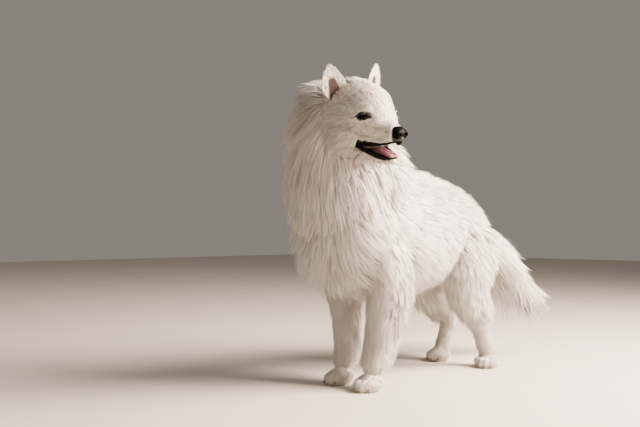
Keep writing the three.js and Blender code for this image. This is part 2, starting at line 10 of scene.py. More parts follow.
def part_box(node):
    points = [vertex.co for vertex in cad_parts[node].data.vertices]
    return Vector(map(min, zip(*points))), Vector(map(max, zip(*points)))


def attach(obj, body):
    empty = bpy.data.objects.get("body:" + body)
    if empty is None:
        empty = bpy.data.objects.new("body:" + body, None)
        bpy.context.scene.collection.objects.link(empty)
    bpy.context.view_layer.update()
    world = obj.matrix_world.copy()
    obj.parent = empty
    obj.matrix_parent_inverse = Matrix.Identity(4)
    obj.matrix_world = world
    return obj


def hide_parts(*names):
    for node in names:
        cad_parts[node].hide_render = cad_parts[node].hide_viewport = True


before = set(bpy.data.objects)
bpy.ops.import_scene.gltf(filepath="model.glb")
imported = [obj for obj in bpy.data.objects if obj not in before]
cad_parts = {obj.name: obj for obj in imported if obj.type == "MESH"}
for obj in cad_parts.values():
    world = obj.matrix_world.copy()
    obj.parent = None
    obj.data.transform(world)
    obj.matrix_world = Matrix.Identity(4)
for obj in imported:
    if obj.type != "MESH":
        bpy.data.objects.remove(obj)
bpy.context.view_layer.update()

# Where the model stands.
# A standing samoyed, life size, is laid out in millimetres from a point midway between its front paws,
# +X to the dog's left and +Y rearwards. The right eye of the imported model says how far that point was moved.
HEAD_AT = Vector((270, -111, 623))
HEAD_YAW, HEAD_PITCH, HEAD_ROLL = math.radians(84.7), math.radians(13.8), math.radians(-9.2)
HEAD_TURN = Matrix.Rotation(HEAD_YAW, 3, "Z") @ Matrix.Rotation(HEAD_PITCH, 3, "X")
HEAD_TURN = HEAD_TURN @ Matrix.Rotation(HEAD_ROLL, 3, "Y")
CARVED_EYE_AT = (-35, 105, 30)


def from_head(point):
    """A point of the head's own frame, whose nose tip is the origin, in the dog's frame."""
    return HEAD_TURN @ Vector(point) + HEAD_AT


eye_low, eye_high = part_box("eye_right")
SHIFT = (eye_low + eye_high) / 2 * 1000 - from_head(CARVED_EYE_AT)
SHIFT.z = 0


def metres(point):
    """A point of the dog's frame in metres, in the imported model's frame."""
    return (Vector(point) + SHIFT) / 1000


# Camera, floor and lights.
# The camera stands low in front of the dog's left shoulder, level with its chest. The floor is plain
# pale plaster. Three soft studio lamps give the warm light from behind and a weak fill in front.
CAMERA_AT = (1316, -1417, 400)
CAMERA_RISE = math.radians(1.5)
camera = bpy.data.objects.new("camera", bpy.data.cameras.new("camera"))
bpy.context.scene.collection.objects.link(camera)
camera.location = metres(CAMERA_AT)
looking = Vector((-0.711, 0.703, math.tan(CAMERA_RISE)))
camera.rotation_mode = "QUATERNION"
camera.rotation_quaternion = looking.to_track_quat("-Z", "Y")
camera.data.sensor_width = 36
camera.data.lens = 41.7
bpy.context.scene.camera = camera


def linear(code):
    """An sRGB hex colour as linear red, green, blue and alpha."""
    parts = [int(code[i:i + 2], 16) / 255 for i in (1, 3, 5)]
    return (*[p / 12.92 if p < 0.04045 else ((p + 0.055) / 1.055) ** 2.4 for p in parts], 1)


def add(material, kind, links=None, **settings):
    """Adds a node with its settings, by attribute or socket name, and its links, by socket name or number."""
    tree = material.node_tree
    made = tree.nodes.new(kind)
    for name, value in settings.items():
        if hasattr(made, name):
            setattr(made, name, value)
        else:
            made.inputs[name.replace("_", " ")].default_value = value
    for name, source in (links or {}).items():
        tree.links.new(source, made.inputs[name])
    return made


def finish_of(name):
    """An empty node material."""
    material = bpy.data.materials.new(name)
    material.use_nodes = True
    material.node_tree.nodes.clear()
    return material


def close(material, shader):
    """Links the last shader to the material's output."""
    add(material, "ShaderNodeOutputMaterial", {"Surface": shader.outputs[0]})
    return material


def between_tones(material, fac, first, second):
    """The colour that runs from the first tone to the second as fac goes from 0 to 1."""
    tone = add(material, "ShaderNodeMix", {"Factor": fac}, data_type="RGBA")
    tone.inputs["A"].default_value = linear(first)
    tone.inputs["B"].default_value = linear(second)
    return tone.outputs["Result"]


def pattern(material, kind, scale, **settings):
    """A texture on Object coordinates. Its marks are about 1000 / scale millimetres across."""
    place = add(material, "ShaderNodeTexCoord")
    return add(material, kind, {"Vector": place.outputs["Object"]}, Scale=scale, **settings)


# Matt studio plaster: slight clouding in its colour and no gloss.
plaster = finish_of("matt_plaster")
clouds = pattern(plaster, "ShaderNodeTexNoise", 3, Detail=5)
tone = between_tones(plaster, clouds.outputs["Fac"], "#c2bcb4", "#cbc5bd")
close(plaster, add(plaster, "ShaderNodeBsdfPrincipled", {"Base Color": tone}, Roughness=0.9))

FLOOR_HALF = 9
bm = bmesh.new()
bmesh.ops.create_grid(bm, x_segments=8, y_segments=8, size=FLOOR_HALF)
floor_mesh = bpy.data.meshes.new("floor")
bm.to_mesh(floor_mesh)
bm.free()
floor = bpy.data.objects.new("floor", floor_mesh)
floor.data.materials.append(plaster)
bpy.context.scene.collection.objects.link(floor)

world = bpy.data.worlds.new("studio")
world.use_nodes = True
world.node_tree.nodes["Background"].inputs["Color"].default_value = linear("#cbc1b6")
world.node_tree.nodes["Background"].inputs["Strength"].default_value = 0.44
bpy.context.scene.world = world
# Each lamp's place, its width in metres, its watts and its colour. All of them look at the ribs.
RIBS = (60, 100, 420)
LAMPS = {
    "key": ((1800, 1200, 1650), 1.6, 720, "#ffe7d0"),
    "fill": ((-700, -2600, 1500), 2.2, 14, "#f7efe6"),
    "front": ((2500, -1500, 1300), 1.6, 13, "#fff1e2"),
}
for name, (at, size, watts, colour) in LAMPS.items():
    light = bpy.data.lights.new(name, "AREA")
    light.size = size
    light.energy = watts
    light.color = linear(colour)[:3]
    lamp = bpy.data.objects.new(name, light)
    bpy.context.scene.collection.objects.link(lamp)
    lamp.location = metres(at)
    lamp.rotation_mode = "QUATERNION"
    lamp.rotation_quaternion = (metres(RIBS) - lamp.location).to_track_quat("-Z", "Y")

# Skin.
# One hide over the whole dog, as a mount-maker stretches it over a carved form. Each limb is a smooth run
# of oval sections; they are joined, melted together and smoothed. The head's part is three times finer.
# A limb has the way that its sections' depth faces, the share of its run that is rounded off at each end,
# and rows of x, y, z of a section's centre, its half-width and its half-depth.
LIMBS = {
    "torso": (Vector((0, 0, 1)), 0.09, [
        (0, -100, 400, 46, 58), (0, -60, 405, 80, 102), (0, 20, 415, 98, 134), (0, 130, 415, 104, 132),
        (0, 250, 416, 96, 124), (0, 350, 420, 80, 102), (0, 435, 408, 72, 84), (0, 498, 390, 60, 66),
        (0, 545, 374, 40, 44)]),
    "neck": (Vector((0, -1, 0.2)), 0.12, [
        (0, 10, 440, 84, 92), (0, -35, 520, 84, 92), (8, -72, 600, 76, 80), (26, -95, 665, 70, 72),
        (54, -103, 712, 62, 62), (74, -106, 742, 52, 52)]),
    "tail": (Vector((0, 1, 1)), 0.08, [
        (0, 525, 415, 20, 22), (8, 612, 384, 17, 18), (30, 685, 325, 13, 14), (58, 748, 250, 9, 10),
        (74, 785, 205, 5, 6)]),
    "foreleg_left": (Vector((0, -1, 0)), 0.07, [
        (66, 10, 395, 38, 60), (84, 38, 300, 33, 48), (74, 38, 205, 27, 32), (61, 32, 115, 26, 29),
        (58, 13, 38, 29, 29)]),
    "foreleg_right": (Vector((0, -1, 0)), 0.07, [
        (-66, 14, 395, 38, 60), (-84, 44, 300, 33, 48), (-74, 48, 205, 27, 32), (-61, 42, 115, 26, 29),
        (-58, 23, 38, 29, 29)]),
    "hindleg_left": (Vector((0, -1, 0.2)), 0.06, [
        (54, 445, 410, 42, 66), (76, 412, 335, 40, 64), (80, 400, 262, 33, 50), (70, 446, 195, 25, 35),
        (64, 486, 140, 20, 25), (72, 500, 85, 19, 21), (82, 506, 34, 25, 28)]),
    "hindleg_right": (Vector((0, -1, 0.2)), 0.06, [
        (-54, 445, 410, 42, 66), (-78, 414, 335, 40, 64), (-84, 402, 265, 33, 50), (-78, 460, 198, 25, 35),
        (-72, 522, 140, 20, 25), (-78, 520, 85, 19, 21), (-84, 502, 34, 25, 28)]),
}
# The skull's rows are y, top, bottom and half-width in the head's frame; the jaw's are y, z and half-sizes.
SKULL = [
    (16, 5, -18, 13), (28, 11, -23, 21), (46, 18, -28, 28), (70, 29, -32, 38), (95, 57, -34, 52),
    (125, 88, -41, 63), (160, 101, -53, 67), (200, 92, -55, 65), (232, 64, -38, 50)]
# Both are laid out again below as rows of x, y, z and half-sizes, as a limb's are.
SKULL_ROWS = [(0, y, (top + low) / 2, half, (top - low) / 2) for y, top, low, half in SKULL]
JAW = [(37, -65, 10, 6), (58, -66.5, 16, 7.5), (90, -64, 25, 11), (122, -54, 35, 16), (158, -44, 42, 23)]
JAW_ROWS = [(0, *row) for row in JAW]
# The rims of the lips, as half-width, y and z from the front to the corner of the mouth.
UPPER_LIP = [(0, 17, -19), (14, 25, -22), (23, 42, -28), (31, 68, -32), (42, 102, -28), (50, 130, -32)]
LOWER_LIP = [(0, 34, -62), (12, 41, -63), (21, 58, -62), (31, 88, -54), (42, 114, -44), (49, 130, -36)]
# Each paw's place on the floor and its turn. The four toes of a paw stand at steps of its width, and their
# half-sizes are TOE's.
PAWS = {
    "front_left": ((57, 0), 0.12), "front_right": ((-57, 8), -0.1),
    "hind_left": ((84, 502), 0.3), "hind_right": ((-85, 490), -0.08)}
PAW_LENGTH, PAW_WIDTH, PAW_HEIGHT = 86, 62, 46
HEEL_AT = (0, PAW_LENGTH * 0.12, PAW_HEIGHT * 0.44)
HEEL_HALF = (PAW_WIDTH * 0.42, PAW_LENGTH * 0.37, PAW_HEIGHT * 0.6)
TOE = (9.8, 22, 16)
TOE_STEPS = (-1.5, -0.5, 0.5, 1.5)
# The left ear's base and tip, its half-width and thickness, how far its cup turns outwards, and its
# sections: share of its height, share of its half-width and share of its thickness.
EAR_BASE = (46, 182, 36)
EAR_TIP = (76, 191, 137)
EAR_HALF, EAR_THICK, EAR_SPLAY = 36, 15, 0.34
EAR_ROWS = (
    (0, 0.22, 0.8), (0.22, 0.4, 1), (0.42, 0.74, 1), (0.6, 0.84, 0.9), (0.8, 0.64, 0.7), (0.92, 0.4, 0.55),
    (1, 0.2, 0.45))
# The glass eyes, the domes of the lids over them, and the bulge of the cheek muscle.
EYE_RADIUS = 16
EYE_AT = {"left": Vector((37, 102.5, 30)), "right": Vector((-37, 102.5, 30))}
LID_DOME = (20.4, 20.4, 18.6)
CHEEK_AT, CHEEK_HALF = (38, 148, -14), (32, 40, 34)
SIDES = ((1, "left"), (-1, "right"))
# How wide the faces of the body's, the paws' and the head's parts are.
BODY_GRAIN, PAW_GRAIN, HEAD_GRAIN = 6, 2.5, 2
# With the head turned to the left, the mane bunches on that side of the withers.
MANE = [
    (24, 60, 490, 74, 84), (38, 16, 570, 54, 60), (44, -12, 625, 42, 46), (40, -55, 668, 36, 38),
    (34, -88, 700, 26, 26)]


def along_curve(points, t):
    """The centripetal Catmull-Rom curve through the points, at t from 0 to 1."""
    points = np.asarray(points, float)
    last = len(points) - 1
    i = min(int(last * t), last - 1)
    w = last * t - i
    p1, p2 = points[i], points[i + 1]
    p0 = points[i - 1] if i else 2 * p1 - p2
    p3 = points[i + 2] if i + 2 <= last else 2 * p2 - p1
    d0, d1, d2 = [max(np.linalg.norm(b - a) ** 0.5, 1e-4) for a, b in ((p0, p1), (p1, p2), (p2, p3))]
    m1 = ((p1 - p0) / d0 - (p2 - p0) / (d0 + d1) + (p2 - p1) / d1) * d1
    m2 = ((p2 - p1) / d1 - (p3 - p1) / (d1 + d2) + (p3 - p2) / d2) * d1
    return p1 + m1 * w + (3 * (p2 - p1) - 2 * m1 - m2) * w ** 2 + (2 * (p1 - p2) + m1 + m2) * w ** 3


def sections(rows, facing, ends, steps):
    """Centre, width, depth and run for each of the steps along a limb, which are closer towards its ends."""
    made = []
    for i in range(steps + 1):
        even = i / steps
        t = even * 0.4 + (0.5 - 0.5 * math.cos(math.pi * even)) * 0.6
        row = along_curve(rows, t)
        run = along_curve(rows, min(t + 0.01, 1))[:3] - along_curve(rows, max(t - 0.01, 0))[:3]
        run = Vector(run).normalized()
        depth = (Vector(facing) - run * run.dot(facing)).normalized()
        from_end = min(t, 1 - t) / ends if ends else 1
        full = 1 if from_end >= 1 else math.sqrt(max(0.004, 1 - (1 - from_end) ** 2))
        made.append((Vector(row[:3]), run.cross(depth) * row[3] * full, depth * row[4] * full, run))
    return made


def loft(bm, rings, segments, shape=None, ring_shaped=False):
    """Bridges a run of ovals into a closed tube, or a ring. "shape" may move each unit circle's points."""
    before = first = None
    for centre, width, depth, run in rings:
        made = bmesh.ops.create_circle(bm, cap_ends=False, segments=segments, radius=1)["verts"]
        if shape:
            for v in made:
                v.co = shape(v.co)
        axes = Matrix((width, depth, run)).transposed()
        bmesh.ops.transform(bm, matrix=Matrix.Translation(centre) @ axes.to_4x4(), verts=made)
        edges = list({e for v in made for e in v.link_edges})
        if before:
            bmesh.ops.bridge_loops(bm, edges=before + edges)
        elif not ring_shaped:
            bmesh.ops.contextual_create(bm, geom=edges)
        first = first or edges
        before = edges
    if ring_shaped:
        bmesh.ops.bridge_loops(bm, edges=before + first)
    else:
        bmesh.ops.contextual_create(bm, geom=before)


def ball(bm, centre, half, turn=(0, 0, 0), rings=(32, 20)):
    """An egg with three half-sizes."""
    matrix = Matrix.Translation(centre) @ Euler(turn).to_matrix().to_4x4() @ Matrix.Diagonal((*half, 1))
    return bmesh.ops.create_uvsphere(bm, u_segments=rings[0], v_segments=rings[1], radius=1, matrix=matrix)


def rope(bm, line, radii, ring_shaped=False, segments=10):
    """A tube through the points, with a half-width and half-depth at each."""
    count = len(line)
    made = []
    for i, centre in enumerate(line):
        after = line[(i + 1) % count] if ring_shaped else line[min(i + 1, count - 1)]
        before = line[i - 1] if ring_shaped or i else line[0]
        run = (after - before).normalized()
        width = run.cross(Vector((0, 0, 1))).normalized()
        made.append((centre, width * radii[i][0], width.cross(run) * -radii[i][1], run))
    loft(bm, made, segments, ring_shaped=ring_shaped)


def object_of(bm, name, carry=None):
    """A shown object from a bmesh in millimetres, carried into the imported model's frame."""
    bmesh.ops.recalc_face_normals(bm, faces=bm.faces)
    if carry is not None:
        bmesh.ops.transform(bm, matrix=carry, verts=bm.verts)
    bmesh.ops.transform(bm, matrix=Matrix.Scale(0.001, 4) @ Matrix.Translation(SHIFT), verts=bm.verts)
    mesh = bpy.data.meshes.new(name)
    bm.to_mesh(mesh)
    bm.free()
    made = bpy.data.objects.new(name, mesh)
    bpy.context.scene.collection.objects.link(made)
    return made


def settle(piece):
    """Makes the piece's modifiers part of its mesh."""
    bpy.context.view_layer.update()
    done = bpy.data.meshes.new_from_object(piece.evaluated_get(bpy.context.evaluated_depsgraph_get()))
    piece.modifiers.clear()
    piece.data = done
    return piece


def melt(piece, grain, rounds):
    """Joins overlapping shapes into one even mesh with faces "grain" millimetres across, and smooths it."""
    remesh = piece.modifiers.new("melt", "REMESH")
    remesh.mode = "VOXEL"
    remesh.voxel_size = grain / 1000
    remesh.use_smooth_shade = True
    smooth = piece.modifiers.new("smooth", "SMOOTH")
    smooth.factor = 0.5
    smooth.iterations = rounds
    return settle(piece)


def ear_frame(side):
    """The ear's base, its direction up and the way that its cup faces, in the head's frame."""
    base = Vector((side * EAR_BASE[0], EAR_BASE[1], EAR_BASE[2]))
    up = Vector((side * EAR_TIP[0], EAR_TIP[1], EAR_TIP[2])) - base
    return base, up, Vector((side * math.sin(EAR_SPLAY), -math.cos(EAR_SPLAY), 0))


def ear_section(co):
    """Folds an oval into a crescent: the front is hollow and the back is round."""
    y = co.y if co.y < 0 else -co.y * 0.52
    return Vector((co.x, y + 0.35 + 0.25 * (1 - co.x ** 2), 0))


def lip_line(rows, steps, inwards=0.0, up=0.0):
    """Points along a lip from corner to corner, moved inwards and up from its rim."""
    half = [Vector((max(x - inwards, 0), y, z + up)) for x, y, z in rows]
    whole = [Vector((-p.x, p.y, p.z)) for p in reversed(half[1:])] + half
    return [Vector(along_curve(whole, i / steps)) for i in range(steps + 1)]


def paw_carry(paw):
    """Carries a shape from a paw's own frame to its place on the floor."""
    (x, y), turn = PAWS[paw]
    return Matrix.Translation((x, y, 0)) @ Matrix.Rotation(turn, 4, "Z")


def toe_middle(step):
    """How far forward a toe's middle stands in its paw: the inner two stand further out."""
    return -PAW_LENGTH * (0.24 if abs(step) < 1 else 0.12)


HEAD_CARRY = Matrix.Translation(HEAD_AT) @ HEAD_TURN.to_4x4()
bm = bmesh.new()
for facing, ends, rows in LIMBS.values():
    loft(bm, sections(rows, facing, ends, 30), 36)
loft(bm, sections(MANE, (0, -1, 0.2), 0.2, 24), 36)
body_part = melt(object_of(bm, "body_part"), BODY_GRAIN, 6)

bm = bmesh.new()
for paw in PAWS:
    foot = ball(bm, HEEL_AT, HEEL_HALF)["verts"]
    for step in TOE_STEPS:
        toe_at = (step * PAW_WIDTH * 0.225, toe_middle(step), TOE[2] * 0.93)
        foot += ball(bm, toe_at, TOE, (0, 0, -step * 0.14))["verts"]
    bmesh.ops.transform(bm, matrix=paw_carry(paw), verts=foot)
paw_part = melt(object_of(bm, "paw_part"), PAW_GRAIN, 5)

bm = bmesh.new()
loft(bm, sections(SKULL_ROWS, (0, 0, 1), 0.06, 36), 48)
loft(bm, sections(JAW_ROWS, (0, 0, 1), 0.1, 20), 36)
rope(bm, lip_line(UPPER_LIP, 40, 7, 9), [(8.5, 10)] * 41, segments=16)
rope(bm, lip_line(LOWER_LIP, 40, 4, -5), [(5, 6)] * 41, segments=16)
for side, word in SIDES:
    ball(bm, EYE_AT[word], LID_DOME)
    ball(bm, (side * CHEEK_AT[0], *CHEEK_AT[1:]), CHEEK_HALF)
    base, up, facing = ear_frame(side)
    rows = [(*(base + up * share), EAR_HALF * wide, EAR_THICK * thick) for share, wide, thick in EAR_ROWS]
    loft(bm, sections(rows, facing, 0.08, 24), 40, ear_section)
head_part = melt(object_of(bm, "head_part", HEAD_CARRY), HEAD_GRAIN, 5)


def joined(piece, other, how):
    """Cuts or joins two closed meshes, and takes the second away."""
    boolean = piece.modifiers.new(how, "BOOLEAN")
    boolean.operation = how
    boolean.solver = "MANIFOLD"
    boolean.object = other
    settle(piece)
    bpy.data.objects.remove(other)
    return piece


# The slits between the lids are almonds, which rise a little more than they sink. The eyes look forwards and
# outwards, by the splay from the way that the nose points.
SLIT_HALF, SLIT_RISE, SLIT_SINK = 23.5, 6.2 * 2.1, 6.2 * 1.7
SLIT_SLOPE, SLIT_SPLAY = -0.02, 0.72
SLIT_DEPTH = 40
# The room round each eyeball in its socket.
SOCKET_GAP = 0.6


def slit_line(steps, grow=0.0):
    """The almond's edge, about "grow" wider all round, as points of the slit's own plane."""
    line = []
    for i in range(steps):
        share = i / steps * 2
        up = share < 1
        s = share if up else 2 - share
        x = (1 - 2 * s) * (SLIT_HALF + grow)
        z = 2 * s * (1 - s) * (SLIT_RISE if up else -SLIT_SINK) * (1 + grow / 7)
        line.append(Vector((x, 0, z)))
    return line


def slit_turn(side):
    """Turns the slit's plane to the way that the eye looks."""
    return Matrix.Rotation(side * SLIT_SPLAY, 4, "Z") @ Matrix.Rotation(-side * SLIT_SLOPE, 4, "Y")


bm = bmesh.new()
for side, word in SIDES:
    face = bm.faces.new([bm.verts.new(p) for p in slit_line(32)])
    pushed = bmesh.ops.extrude_face_region(bm, geom=[face])["geom"]
    far_end = [g for g in pushed if isinstance(g, bmesh.types.BMVert)]
    bmesh.ops.translate(bm, vec=(0, -SLIT_DEPTH, 0), verts=far_end)
    fresh = [v for v in bm.verts if not v.tag]
    bmesh.ops.transform(bm, matrix=Matrix.Translation(EYE_AT[word]) @ slit_turn(side), verts=fresh)
    for v in fresh:
        v.tag = True
head_part = joined(head_part, object_of(bm, "slits", HEAD_CARRY), "DIFFERENCE")
bm = bmesh.new()
for at in EYE_AT.values():
    ball(bm, at, (EYE_RADIUS + SOCKET_GAP,) * 3, rings=(40, 24))
head_part = joined(head_part, object_of(bm, "sockets", HEAD_CARRY), "DIFFERENCE")
skin = joined(joined(body_part, paw_part, "UNION"), head_part, "UNION")
skin.name = "skin"

# What the hide is like at each of its points: which limb it is on, how the hair lies there, how long it is
# and how far it stands off, the biscuit tint of the nape and poll, and where it is bare and dark.
points = np.empty(len(skin.data.vertices) * 3)
skin.data.vertices.foreach_get("co", points)
points = points.reshape(-1, 3) * 1000 - np.array(SHIFT)
turn = np.array(HEAD_TURN)


def unit(vectors):
    """The vectors at length one."""
    return vectors / np.maximum(np.linalg.norm(vectors, axis=1, keepdims=True), 1e-9)


def between(value, low, high):
    """0 below low, 1 above high and smooth between."""
    share = np.clip((value - low) / (high - low), 0, 1)
    return share * share * (3 - 2 * share)


# Neighbouring points share their values, so that no seam shows where two limbs meet.
edges = np.empty(len(skin.data.edges) * 2, np.int64)
skin.data.edges.foreach_get("vertices", edges)
edges = edges.reshape(-1, 2)
ends_of = np.concatenate((edges[:, 0], edges[:, 1]))
others = np.concatenate((edges[:, 1], edges[:, 0]))
neighbours = np.maximum(np.bincount(ends_of, minlength=len(points)), 1)


def evened(values, rounds):
    """The values, each blended with its neighbours' over and over."""
    for _ in range(rounds):
        values = 0.4 * values + 0.6 * np.bincount(ends_of, values[others], len(points)) / neighbours
    return values


# The creases where the head and the paws join are smoothed away.
CREASE_ROUNDS = 45
_, hy, hz = ((points - np.array(HEAD_AT)) @ turn).T
at_ear = between(hz, 30, 45) * (1 - between(hy, 215, 232))
crease = between(hy, 165, 200) * (1 - between(hy, 255, 300)) * (1 - at_ear)
crease = np.maximum(crease, 0.7 * between(points[:, 2], 34, 42) * (1 - between(points[:, 2], 60, 74)))
for k in range(3):
    values = points[:, k]
    for _ in range(CREASE_ROUNDS):
        values = values + crease * (evened(values, 1) - values)
    points[:, k] = values
# The soles stay a millimetre above the floor.
points[:, 2] = np.maximum(points[:, 2], 1.0)
skin.data.vertices.foreach_set("co", ((points + np.array(SHIFT)) / 1000).ravel())
skin.data.update()
in_head = (points - np.array(HEAD_AT)) @ turn
hx, hy, hz = in_head.T
outs = np.empty(len(points) * 3)
skin.data.vertex_normals.foreach_get("vector", outs)
outs = outs.reshape(-1, 3)
out_in_head = outs @ turn


# A point this far past the end of a limb no longer belongs to it.
END_REACH = 25


def measure(rings, at):
    """Each point's share of the way to the limb's outside, how far along it is, its angle and the run."""
    centres = np.array([ring[0] for ring in rings])
    widths = np.array([ring[1] for ring in rings])
    depths = np.array([ring[2] for ring in rings])
    runs = np.array([ring[3] for ring in rings])
    nearest = np.argmin(((at[:, None, :] - centres[None]) ** 2).sum(2), axis=1)
    off = at - centres[nearest]
    across = (off * widths[nearest]).sum(1) / (widths[nearest] ** 2).sum(1)
    deep = (off * depths[nearest]).sum(1) / (depths[nearest] ** 2).sum(1)
    past_end = (off * runs[nearest]).sum(1) / END_REACH
    outside = np.sqrt(across ** 2 + deep ** 2 + past_end ** 2)
    return outside, nearest / (len(rings) - 1), np.arctan2(across, deep), runs[nearest]


def carried(rings):
    """The head's rings in the dog's frame."""
    return [(from_head(c), HEAD_TURN @ w, HEAD_TURN @ d, HEAD_TURN @ r) for c, w, d, r in rings]


REGIONS = {name: sections(rows, facing, 0, 24) for name, (facing, _, rows) in LIMBS.items()}
REGIONS["head"] = carried(sections(SKULL_ROWS, (0, 0, 1), 0, 24))
REGIONS["jaw"] = carried(sections(JAW_ROWS, (0, 0, 1), 0, 12))
for side, word in SIDES:
    base, up, facing = ear_frame(side)
    rows = [(*(base + up * share), 30 * (1.1 - share), 13) for share in (0.15, 0.4, 0.7, 1)]
    REGIONS["ear_" + word] = carried(sections(rows, facing, 0, 12))
for paw, ((x, y), turned) in PAWS.items():
    ahead = Matrix.Rotation(turned, 3, "Z") @ Vector((0, -1, 0))
    rows = [(*(Vector((x, y, 24)) - ahead * far), 28, 22) for far in (28, 10, -10, -28)]
    REGIONS["paw_" + paw] = sections(rows, (0, 0, 1), 0, 8)

DOWN = np.array((0, 0, -1.0))
BACK_OF_HEAD = turn @ np.array((0, 1.0, 0))
DOWN_OF_HEAD = turn @ np.array((0, 0, -1.0))
REARWARDS = np.array((0, 1.0, 0))
one = np.ones(len(points))
back = np.clip(outs[:, 1], 0, 1)
under = np.clip(-outs[:, 2], 0, 1)
weights, flows, lengths, rises, unwrapped = [], [], [], [], []
# For each limb: "flow" is the way that its hair points, "length" the hair's length and "rise" how far its
# tips stand off the hide, in millimetres, where t runs from 0 at the limb's first section to 1 at its last.
for number, (name, rings) in enumerate(REGIONS.items()):
    share, t, angle, run = measure(rings, points)
    if name == "torso":
        pull = 0.4 + 0.9 * between(-t, -0.16, -0.04) + 0.9 * between(t, 0.7, 0.95)
        flow = run + pull[:, None] * DOWN
        over = np.clip(outs[:, 2], 0, 1) * (1 - between(t, 0.6, 0.75))
        chest = between(-t, -0.22, -0.04)
        length = 68 + 34 * chest + 22 * under
        rise = 35 + 26 * under * between(t, 0.1, 0.3) + 28 * chest + 9 * over \
            - 22 * between(t, 0.7, 0.9) * (1 - under)
    elif name == "neck":
        flow = -run + 0.25 * DOWN
        low = between(-t, -0.6, -0.3)
        length = 94 - 32 * between(t, 0.6, 1) + 16 * low
        rise = 39 - 11 * between(t, 0.55, 0.95) + 32 * low
    elif name == "tail":
        below = between(-outs[:, 2], -0.4, 0.8)
        flow = run + (0.35 + 0.9 * below)[:, None] * DOWN
        length = 72 + 14 * np.sin(np.pi * t) + 84 * below * (1 - 0.5 * between(t, 0.6, 1))
        length = length - 22 * between(t, 0.75, 1) + 30 * below * between(-t, -0.55, -0.2)
        rise = 14 + 20 * np.sin(np.pi * np.clip(t * 0.9 + 0.05, 0, 1)) + 96 * below * (1 - between(t, 0.5, 1))
    elif name.startswith("foreleg"):
        feather = back * between(t, 0.12, 0.3) * between(-t, -0.8, -0.68)
        flow = run + 0.55 * back[:, None] * REARWARDS
        length = 52 - 28 * between(t, 0.35, 0.92) + 44 * feather
        rise = 18 - 12.5 * between(t, 0.35, 0.92) + 26 * feather
    elif name.startswith("hindleg"):
        thigh = between(-t, -0.66, -0.48)
        flow = run + (0.25 + 0.5 * back * thigh)[:, None] * REARWARDS * thigh[:, None]
        length = 26 - 8 * between(t, 0.8, 1) + thigh * (42 + 26 * back)
        rise = 8 - 2.5 * between(t, 0.8, 1) + thigh * (20 + 12 * back)
    elif name == "head":
        cheek = between(hy, 95, 165) * between(-hz, -30, 15)
        flow = BACK_OF_HEAD + (0.1 + 0.8 * cheek)[:, None] * DOWN_OF_HEAD
        length = 7 + 12 * between(hy, 55, 115) + 26 * between(hy, 130, 210) + 38 * cheek
        rise = 2 + 7 * between(hy, 60, 115) + 9 * between(hy, 140, 200) + 12 * cheek
    elif name == "jaw":
        flow = one[:, None] * (BACK_OF_HEAD + DOWN_OF_HEAD)
        length = 8 + 48 * between(hy, 48, 120)
        rise = 2 + 16 * between(hy, 55, 120)
    elif name.startswith("ear"):
        base, up, facing = ear_frame(1 if name.endswith("left") else -1)
        flow = one[:, None] * np.array(HEAD_TURN @ up.normalized())
        hollow = between(outs @ np.array(HEAD_TURN @ facing), 0.2, 0.6)
        length = 12 - 3 * t
        rise = 2.6 - 0.8 * hollow
    else:
        flow = one[:, None] * np.array((0, -0.8, -1.0))
        length = 12 * one
        rise = 2.6 * one
    weights.append(np.exp(-7 * np.maximum(share - 1, 0)))
    flows.append(unit(flow))
    lengths.append(length)
    rises.append(rise)
    # Each limb has its own tile in the map of the hide, by the angle round it and how far along it is.
    column, line = number % 4, number // 4
    round_it = (column + 0.04 + 0.9 * (angle / (2 * np.pi) + 0.5)) / 4
    along_it = (line + 0.04 + 0.9 * t) / 4.001
    unwrapped.append(np.stack((round_it, along_it), 1))
weights = np.array(weights)
region_of = np.argmax(weights, axis=0)
root_uv = np.array(unwrapped)[region_of, np.arange(len(points))]
weights /= weights.sum(0)
flow = np.einsum("rn,rnk->nk", weights, np.array(flows))
length = (weights * np.array(lengths)).sum(0)
rise = (weights * np.array(rises)).sum(0)

EVEN_ROUNDS = 30
flow = np.stack([evened(flow[:, k], EVEN_ROUNDS) for k in range(3)], 1)
length, rise = evened(length, EVEN_ROUNDS), evened(rise, EVEN_ROUNDS)
# The hair of the tail fans out from its thin core, long below and short above.
tail = list(REGIONS).index("tail")
on_tail = evened(weights[tail], 3)
length += on_tail * (lengths[tail] - length)
rise += on_tail * (rises[tail] - rise)
flow += on_tail[:, None] * (flows[tail] - flow)
# Longer hair at the temples and behind the cheeks covers the roots of the ears.
for side, word in SIDES:
    temple = np.array((side * 60, 158, 26))
    near = 1 - between(np.linalg.norm(in_head - temple, axis=1), 16, 44)
    length += near * (34 - length)
    rise += near * (15 - rise)
# The ears carry short plush hair that runs up to their tips.
ear_high, ear_across = {}, {}
for side, word in SIDES:
    base, up, facing = ear_frame(side)
    off = in_head - np.array(base)
    high = off @ np.array(up) / up.length_squared
    over = np.array(up.cross(facing).normalized())
    across = np.abs((off - high[:, None] * np.array(up)) @ over)
    on_ear = between(high, 0.36, 0.52) * (across < 48) * (np.abs(off @ np.array(facing)) < 34)
    length += on_ear * (8 - length)
    rise += on_ear * (1.8 - rise)
    flow += on_ear[:, None] * (turn @ np.array(up.normalized()) - flow)
    ear_high[word], ear_across[word] = high, across
# Round each eye the hair is short and parts away from the lids.
for eye in EYE_AT.values():
    off = in_head - np.array(eye)
    near = 1 - between(np.linalg.norm(off, axis=1), 19, 40)
    flow += 1.6 * near[:, None] * (unit(off) @ turn.T)
    length *= 1 - 0.5 * near
    rise *= 1 - 0.5 * near
flow = unit(flow - outs * (flow * outs).sum(1, keepdims=True))


def lip_width(rows, y):
    """The half-width of the lip at y in the head's frame."""
    return np.interp(y, [row[1] for row in rows], [row[0] for row in rows])


